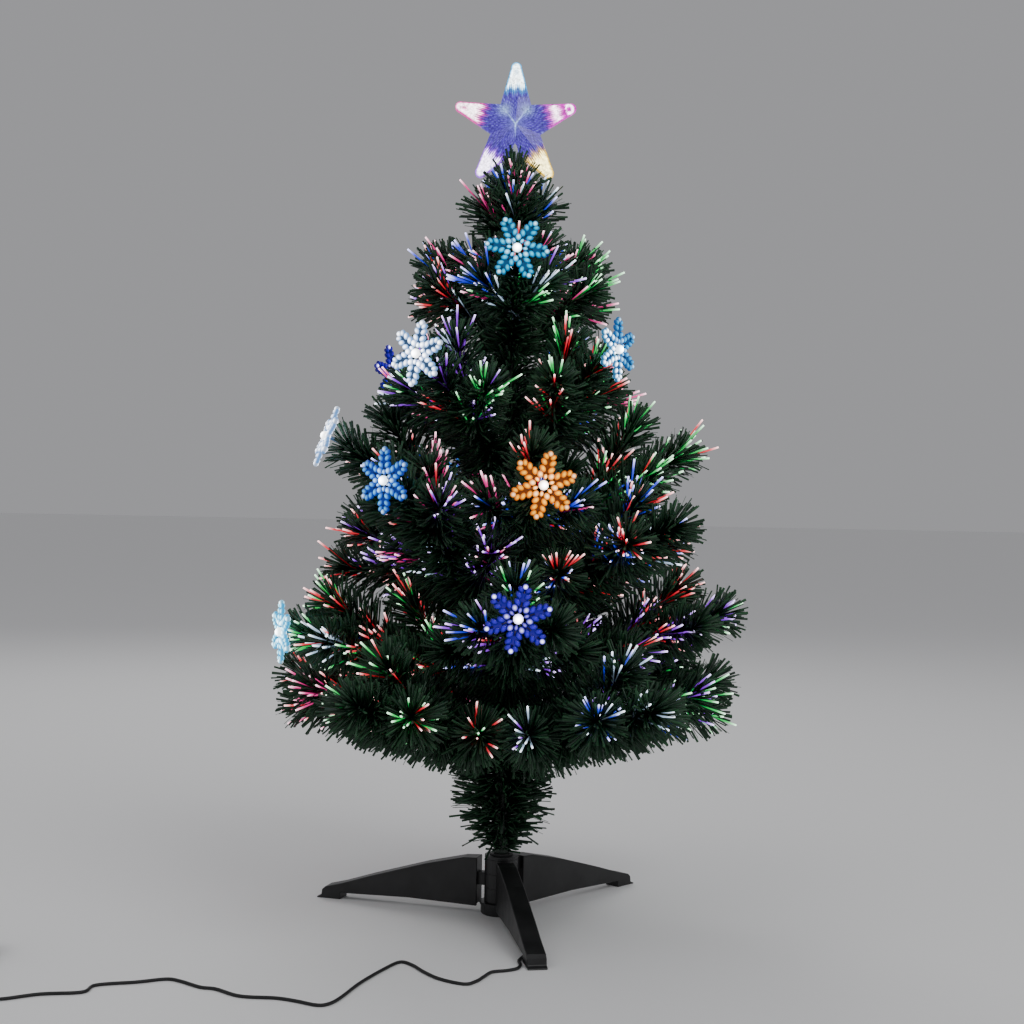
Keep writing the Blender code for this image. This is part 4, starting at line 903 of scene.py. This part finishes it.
def ball_shape(segments=10, rings=6):
    """A unit ball: its points, and its faces as triangles and quads."""
    points = [(0.0, 0.0, -1.0)]
    for i in range(1, rings):
        slope = pi * i / rings
        wide, low = sin(slope), -cos(slope)
        for j in range(segments):
            turn = tau * j / segments
            points.append((wide * cos(turn), wide * sin(turn), low))
    points.append((0.0, 0.0, 1.0))
    return np.array(points), *closed_faces(rings - 1, segments)


def aside_of(along):
    """The direction in the plate's plane that is square to another, anticlockwise from it."""
    return np.array((-along[1], along[0], 0.0))


class Solid:
    """Gathers closed shapes, each with its colour and glow, into one mesh."""

    def __init__(self):
        self.shapes, self.faces = [], {}
        self.count = 0

    def add(self, verts, faces, tints, glows):
        """A shape from its points and arrays of faces, with a colour and a glow for each point."""
        self.shapes.append((verts, tints, glows))
        for array in faces:
            self.faces.setdefault(array.shape[1], []).append(array + self.count)
        self.count += len(verts)

    def rod(self, verts, rings, tint, glow):
        """A rod from the points of its rings, in one colour and glow."""
        quads, caps = rod_faces(rings, len(verts) // rings)
        tints = np.repeat(np.array(tint)[None, :], len(verts), 0)
        self.add(verts, [np.array(quads), np.array(caps)], tints, np.full(len(verts), glow))

    def bar(self, start, end, width, depth, tint, glow):
        """A straight rib with a flat section."""
        along = unit(end - start)
        side = aside_of(along) * width / 2
        high = np.array((0.0, 0.0, depth / 2))
        verts = [place + a * side + b * high for place in (start, end) for a, b in BAR_CORNERS]
        self.rod(np.array(verts), 2, tint, glow)

    def bead(self, centre, along, sizes, rim, crown, glow, painted_highlight_and_lamp_core=0.0):
        """An egg-shaped bead that lies along a direction in the plate's plane, with painted rim shade and a
        painted highlight on its face.
        """
        points, triangles, quads = ball_shape()
        verts = (points * sizes) @ np.array((along, aside_of(along), (0.0, 0.0, 1.0))) + centre
        # Painted shade dims the rim, and a painted highlight pales and brightens the face; on the lamp that spot
        # is its own hot core
        face = points[:, 2] ** 2
        tints = blended(rim, crown, (face**2)[:, None])
        glows = glow * blended(PAINTED_RIM_SHADE_GLOW, 1.0, face) + painted_highlight_and_lamp_core * face**3
        self.add(verts, [triangles, quads], tints, glows)

    def piece(self, name, matrix, material, body, slot):
        """The shapes as one smooth piece, carried to their place."""
        verts, tints, glows = (np.concatenate(values) for values in zip(*self.shapes))
        verts = verts @ np.array(matrix.to_3x3()).T + np.array(matrix.translation)
        polygons = [np.concatenate(arrays) for arrays in self.faces.values()]
        return mesh_piece(name, verts, polygons, material, body, slot, {"glow": glows}, {"tint": tints}, True)


# Snowflakes: the plate looks along +Z, and shares are of its radius

FLAKE_ARM_COUNT = 6
RIB_START = 4 * MM
RIB_END_SHARE = 0.90
RIB_WIDTH = 2.0 * MM
RIB_DEPTH = 1.6 * MM
RIB_TINT_SHARE = 0.5
RIB_GLOW = 0.12
LEAF_PLACE_SHARE = 0.60
LEAF_HALF_SHARES = (0.31, 0.15)
LEAF_DEPTH = 0.9 * MM
# Each pair of beads on an arm: place, how far aside, half length and half width, as shares
BEAD_SHARES = ((0.46, 0.125, 0.125, 0.088), (0.655, 0.125, 0.122, 0.086), (0.82, 0.105, 0.108, 0.078))
BEAD_DEPTH = 2.7 * MM
BEAD_SLANT = radians(46)
# The single beads: place as a share, half sizes in millimetres, and heat
TIP_BEAD = (0.91, (3.1, 3.0, 2.8), 0.9)
NOTCH_BEAD = (0.33, (3.6, 3.2, 3.0), 0.6)
ROOT_BEAD = (0.25, (2.9, 2.0, 2.4), 0.3)
RIM_HEAT_SHARE = 0.6
# The half that blazes in SPLIT_SKY, and the reach of the lamp's own light
BLAZE_EDGE = 6 * MM
BLAZE_WIDTH = 14 * MM
LAMP_REACH = 13 * MM
LAMP_HALF_SIZES_MM = (4.8, 4.8, 5.0)
LAMP_HEIGHT = 1.5 * MM
LAMP_TINT_SHARE = 0.3
LAMP_GLOW = 6.0
LAMP_SPARK = 12.0
PURE_WHITE = (1.0, 1.0, 1.0)
# A bead's glow, what the lamp adds to its glow and to the painted highlight on its face, and the painted highlight
# of a white-hot bead
BEAD_GLOW = 0.7
NEAR_GLOW = 0.9
NEAR_PAINTED_HIGHLIGHT = 2
HOT_PAINTED_HIGHLIGHT = 7
# The bare stem behind the lamp, from the branch outwards: radius and height in millimetres
STEM_PROFILE_MM = ((2.2, -14.0), (1.6, -13.0), (2.0, -6.0), (2.4, -1.6))
STEM_SIDES = 8
STEM_GLOW = 0.1
# How each snowflake is turned on its lamp, in degrees
FLAKE_TURNS = (18, 0, 30, 30, 12, 18, 6, 30, 18, 30, 12, -6)


class Snowflake(Solid):
    """A beaded snowflake in its own light, with a lamp at its middle."""

    def __init__(self, light):
        super().__init__()
        self.tint, self.bright, self.strength, self.blaze, self.plate_glow, self.sparkle = light

    def lit_bead(self, centre, direction, sizes, heat):
        """A bead in the snowflake's light, with a painted highlight on its face: heat carries that highlight
        towards white.
        """
        heat = max(heat, self.blaze * smooth_step((BLAZE_EDGE - centre[0]) / BLAZE_WIDTH))
        crown = blended(self.bright, PURE_WHITE, heat)
        rim = blended(self.tint, self.bright, RIM_HEAT_SHARE * heat)
        near = exp(-((centre[0] ** 2 + centre[1] ** 2) / LAMP_REACH**2))
        glow = self.strength * (BEAD_GLOW + NEAR_GLOW * near)
        # The painted highlight on the bead's face, stronger near the lamp and on white-hot beads
        painted_highlight_and_lamp_core = self.strength * (1 + NEAR_PAINTED_HIGHLIGHT * near) + HOT_PAINTED_HIGHLIGHT * heat**3
        self.bead(centre, direction, np.array(sizes), rim, crown, glow, painted_highlight_and_lamp_core)

    def single_bead(self, angle, bead, sparkle):
        """A bead on its own at an angle round the middle."""
        place, sizes, heat = bead
        along = np.array(heading(angle))
        self.lit_bead(along * FLAKE_RADIUS * place, along, np.array(sizes) * MM, heat * sparkle)

    def arm(self, angle):
        """An arm: its rib, its thin leaf and its beads."""
        radius = FLAKE_RADIUS
        along = np.array(heading(angle))
        aside = aside_of(along)
        dark = tuple(RIB_TINT_SHARE * c for c in self.tint)
        ends = along * RIB_START, along * radius * RIB_END_SHARE
        self.bar(*ends, RIB_WIDTH, RIB_DEPTH, dark, RIB_GLOW * self.strength)
        leaf = np.array((*(share * radius for share in LEAF_HALF_SHARES), LEAF_DEPTH))
        leaf_glow = self.plate_glow * self.strength
        self.bead(along * radius * LEAF_PLACE_SHARE, along, leaf, self.tint, self.tint, leaf_glow)
        for place, off, long, wide in BEAD_SHARES:
            for hand in (-1, 1):
                lean = angle + hand * BEAD_SLANT
                centre = (along * place + aside * hand * off) * radius
                sizes = (long * radius, wide * radius, BEAD_DEPTH)
                self.lit_bead(centre, heading(lean), sizes, 0.0)
        self.single_bead(angle, TIP_BEAD, self.sparkle)
        self.single_bead(angle + pi / FLAKE_ARM_COUNT, NOTCH_BEAD, self.sparkle)
        self.single_bead(angle, ROOT_BEAD, 1.0)

    def lamp(self):
        """The lamp at the middle, the hottest spot."""
        hot = blended(PURE_WHITE, self.bright, LAMP_TINT_SHARE)
        sizes = np.array(LAMP_HALF_SIZES_MM) * MM
        place = np.array((0.0, 0.0, LAMP_HEIGHT))
        self.bead(place, heading(0.0), sizes, hot, PURE_WHITE, LAMP_GLOW, LAMP_SPARK)

    def stem(self):
        """The bare stem that holds the lamp on its branch."""
        turns = [tau * j / STEM_SIDES for j in range(STEM_SIDES)]
        verts = [(r * cos(turn), r * sin(turn), z) for r, z in STEM_PROFILE_MM for turn in turns]
        self.rod(np.array(verts) * MM, len(STEM_PROFILE_MM), self.tint, STEM_GLOW)


def frame_slot(node):
    """The record's material slot of a node."""
    return next(part["material_slot"] for part in frame["record"]["subparts"] if part["node"] == node)


def make_snowflake(index, branch):
    """A snowflake on the tip of a branch, in place of its solid."""
    flake = Snowflake(branch.flake_light)
    for i in range(FLAKE_ARM_COUNT):
        flake.arm(tau * i / FLAKE_ARM_COUNT)
    flake.lamp()
    flake.stem()
    side = Vector((0, 0, 1)).cross(branch.face).normalized()
    turn = Matrix((side, branch.face.cross(side), branch.face)).transposed().to_4x4()
    roll = Matrix.Rotation(radians(FLAKE_TURNS[index - 1]), 4, "Z")
    matrix = Matrix.Translation(branch.flake) @ turn @ roll
    name = f"snowflake_{index:02d}"
    piece = flake.piece(name + "_beads", matrix, FLAKE_PLASTIC, branch.name, frame_slot(name))
    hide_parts(name)


for flake_number, flake_branch in enumerate(LAMP_BRANCHES, 1):
    make_snowflake(flake_number, flake_branch)


# The star's mesh and ribs

STAR_RINGS = 44
STAR_STEPS = 24
STAR_TIP_STEPS = 11
RIB_PITCH = 2.1 * MM
RIB_HEIGHT = 0.28 * MM
RIBS_FROM = 26 * MM
RIBS_FADE = 8 * MM
RIBLESS_SHARE = 0.97
STAR_SHARP_ANGLE = radians(24)

# The star's light: its body, then each arm's colour, heat, hot colour and dot, anticlockwise from the top
STAR_GLOW = (0.13, 0.06, 0.78)
STAR_PALE = (0.45, 0.75, 1.0)
STAR_ARMS = ((0.0, 0.45, 0.95), (0.95, 0.02, 0.45), (0.40, 0.08, 1.0), (1.0, 0.60, 0.02), (0.85, 0.0, 0.70))
STAR_HEAT = (1.0, 0.95, 0.9, 0.9, 1.0)
STAR_HOTS = ((0.85, 0.97, 1.0), (1.0, 0.88, 0.95), (0.92, 0.86, 1.0), (1.0, 0.88, 0.42), (1.0, 0.84, 0.97))
STAR_DOTS = (0.35, 0.85, 0.0, 0.0, 0.0)
# Where an arm's colour, its heat and the light inside its rim begin, and over what width they rise
COLOUR_RISE = (31 * MM, 9 * MM)
HEAT_RISE = (38 * MM, 5 * MM)
RIM_RISE = (0.3 * MM, 2.2 * MM)
TOOTH_DEPTH = 2.6 * MM
WAVE_PITCH = 1.3 * MM
WAVE_DEPTH = 1.8 * MM
DOT_PLACE = 57 * MM
DOT_LENGTH = 3.6 * MM
DOT_WIDTH = 1.7 * MM
# The arm that has a hot spot and a hot ring in place of a hot tip
SPOTTED_ARM = 4
SPOT_PLACE = 45 * MM
SPOT_LENGTH = 4.5 * MM
RING_PLACE = 59 * MM
RING_RADIUS = 4.2 * MM
RING_START = 56 * MM
RING_RISE = (-2.2 * MM, 1.6 * MM)
# The body: the notches that have a crease, with its reach, those that have a pale patch, and fine streaks
CREASES = ((54, 27 * MM), (126, 27 * MM), (270, 15 * MM))
CREASE_WIDTH = 0.8 * MM
PATCHES = (54, 126)
PATCH_PLACE = 20 * MM
PATCH_RADIUS = 7 * MM
MIDDLE_RADIUS = 9 * MM
STREAK_COUNT = 58
STREAK_GROUPS = 21
STREAK_WANDER = 5
STREAK_BEND = 7 * MM
STREAK_START = 14 * MM
# How pale a crease, a patch, the middle and a streak turn the body, and how much they add to the star's glow
PALE_SHARES = (0.55, 0.5, 0.2, 0.3)
MOST_PALE = 0.8
BODY_GLOWS = (0.9, 0.45, 0.3, 0.5)
LEAST_GLOW = 0.55
LIT_GLOW = 0.5
HOT_GLOW = 3.6


def ramp_up(value, start, width):
    """A smooth step from 0 to 1 that begins at a place and takes a width."""
    return smooth_step((value - start) / width)


def hump(distance, width):
    """A soft hump round no distance."""
    return np.exp(-((distance / width) ** 2))


def star_outline():
    """The outline of the star: straight sides and round tips."""
    points = []
    shares = np.arange(STAR_STEPS) / STAR_STEPS
    turns = np.linspace(-pi / 2, pi / 2, STAR_TIP_STEPS)
    for arm in range(STAR_ARM_COUNT):
        angle = radians(90) + tau * arm / STAR_ARM_COUNT
        along, aside = np.array(heading(angle))[:2], np.array(heading(angle + pi / 2))[:2]
        places = STAR_INNER_ALONG + (STAR_TIP_CENTRE - STAR_INNER_ALONG) * shares
        side = [(x, -y) for x, y in zip(places, arm_edge(places))]
        tip = [(STAR_TIP_CENTRE + STAR_TIP * cos(turn), STAR_TIP * sin(turn)) for turn in turns]
        back = [(x, -y) for x, y in reversed(side[1:])]
        points += [x * along + y * aside for x, y in side + tip + back]
    return np.array(points)


def arm_light(arm, along, aside):
    """How far the arms' colour has set in at places of the star, in teeth, and how hot it is there."""
    teeth = np.cos(tau * aside / RIB_PITCH) * TOOTH_DEPTH + np.sin(aside / WAVE_PITCH + arm) * WAVE_DEPTH
    lit = ramp_up(along + teeth, *COLOUR_RISE)
    from_tip = np.hypot(along - STAR_TIP_CENTRE, aside)
    edge = np.where(along > STAR_TIP_CENTRE, STAR_TIP - from_tip, arm_edge(along) - np.abs(aside))
    rim = ramp_up(edge, *RIM_RISE)
    dot = hump(along - DOT_PLACE, DOT_LENGTH) * hump(aside, DOT_WIDTH) * np.array(STAR_DOTS)[arm]
    hot = ramp_up(along + teeth, *HEAT_RISE) * rim * (1 - dot)
    spot = hump(along + 0.5 * teeth - SPOT_PLACE, SPOT_LENGTH) * rim
    off_ring = np.abs(np.hypot(along - RING_PLACE, aside) - RING_RADIUS)
    ring = ramp_up(-off_ring, *RING_RISE) * (along > RING_START)
    hot = np.where(arm == SPOTTED_ARM, np.maximum(spot, ring), hot)
    return lit, hot * np.array(STAR_HEAT)[arm]


def body_light(x, y):
    """The creases, pale patches, bright middle and fine streaks of the star's body."""
    radius, turn = np.hypot(x, y), np.arctan2(y, x)
    crease, patch = np.zeros(len(x)), np.zeros(len(x))
    for notch, reach in CREASES:
        off = turn - radians(notch)
        fade = smooth_step(1 - radius / reach)
        crease = np.maximum(crease, (np.cos(off) > 0) * hump(radius * np.sin(off), CREASE_WIDTH) * fade)
    for notch in PATCHES:
        place = heading(radians(notch)) * PATCH_PLACE
        patch = np.maximum(patch, hump(np.hypot(x - place.x, y - place.y), PATCH_RADIUS))
    wander = STREAK_WANDER * np.sin(radius / STREAK_BEND)
    streak = np.sin(turn * STREAK_COUNT + wander) * np.sin(turn * STREAK_GROUPS + 2 - wander)
    streak = np.maximum(streak, 0.0) ** 2 * ramp_up(radius, 0.0, STREAK_START)
    return crease, patch, hump(radius, MIDDLE_RADIUS), streak


def star_tints(x, y):
    """The colour and glow of the star at places in its plane."""
    turn = (np.degrees(np.arctan2(y, x)) - 90 + ARM_DEGREES / 2) % 360
    arm = (turn // ARM_DEGREES).astype(int) % STAR_ARM_COUNT
    lit, hot = arm_light(arm, *arm_place(x, y))
    body = np.stack(body_light(x, y))
    pale = np.clip(PALE_SHARES @ body, 0, MOST_PALE) * (1 - lit)
    tint = blended(STAR_GLOW, np.array(STAR_ARMS)[arm], lit[:, None])
    tint = blended(tint, np.array(STAR_HOTS)[arm], hot[:, None])
    tint = blended(tint, STAR_PALE, pale[:, None])
    glow = LEAST_GLOW + BODY_GLOWS @ body + LIT_GLOW * lit + HOT_GLOW * hot
    return tint, glow


def make_star():
    """The clear star: facets that rise to its middle, crackled, with fine ribs across its arms' glow."""
    outline = star_outline()
    count = len(outline)
    shares = (np.arange(STAR_RINGS) + 1) / STAR_RINGS
    share = np.array([0, *np.repeat([*shares, *shares[::-1]], count), 0])
    places = np.concatenate([[(0, 0)], np.tile(outline, (2 * STAR_RINGS, 1)), [(0, 0)]])
    x, y = (places * share[:, None]).T
    along, aside = arm_place(x, y)
    ribs = RIB_HEIGHT * np.cos(tau * aside / RIB_PITCH) * ramp_up(along, RIBS_FROM, RIBS_FADE)
    height = STAR_RIM + STAR_RIDGE * (1 - share) + ribs * (share < RIBLESS_SHARE)
    side = np.repeat((-1, 1), len(share) // 2)
    verts = np.stack([x, side * height, y], axis=1) + np.array(STAR_CENTRE)
    faces = [np.roll(array[:, ::-1], 1, axis=1) for array in closed_faces(2 * STAR_RINGS, count)]
    tint, glow = star_tints(x, y)
    body = ("star_clear_body", verts, faces, STAR_PLASTIC, "star", "star_clear")
    piece = mesh_piece(*body, {"glow": glow}, {"tint": tint}, smooth=True)
    piece.data.set_sharp_from_angle(angle=STAR_SHARP_ANGLE)
    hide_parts("star_front_shell", "star_back_shell")


make_star()


# Stage and light: each lamp's place, size and power

FLOOR_REACH = 60.0
FLOOR_COLOUR = (0.90, 0.90, 0.90, 1.0)
SURROUND_COLOUR = (0.78, 0.78, 0.81, 1.0)
SURROUND_STRENGTH = 0.44
LAMP_AIM = Vector((0, 0, 0.4))
STUDIO_LAMPS = {
    "key": ((1.7, -2.0, 2.6), 2.0, 34.0),
    "fill": ((-1.5, -1.4, 2.9), 2.2, 12.0),
    "rim": ((-0.6, 2.2, 2.2), 1.6, 16.0),
}


def make_floor():
    """A pale floor that reaches past the view."""
    mesh = bpy.data.meshes.new("floor")
    corners = [(a * FLOOR_REACH, b * FLOOR_REACH, 0.0) for a, b in BAR_CORNERS]
    mesh.from_pydata(corners, [], [(0, 1, 2, 3)])
    mesh.materials.append(Shader("floor", Base_Color=FLOOR_COLOUR, Roughness=0.8).material)
    add_object("floor", mesh)


def make_surround():
    """An even, pale surround."""
    world = bpy.data.worlds.new("surround")
    bpy.context.scene.world = world
    world.use_nodes = True
    background = world.node_tree.nodes["Background"]
    background.inputs["Color"].default_value = SURROUND_COLOUR
    background.inputs["Strength"].default_value = SURROUND_STRENGTH


def make_studio_lamp(name, place, size, power):
    """A soft square lamp, aimed at the middle of the tree."""
    lamp = bpy.data.lights.new(name, "AREA")
    lamp.size = size
    lamp.energy = power
    holder = add_object(name, lamp)
    holder.location = place
    holder.rotation_euler = (LAMP_AIM - Vector(place)).to_track_quat("-Z", "Y").to_euler()


make_floor()
make_surround()
for lamp_name, lamp_values in STUDIO_LAMPS.items():
    make_studio_lamp(lamp_name, *lamp_values)
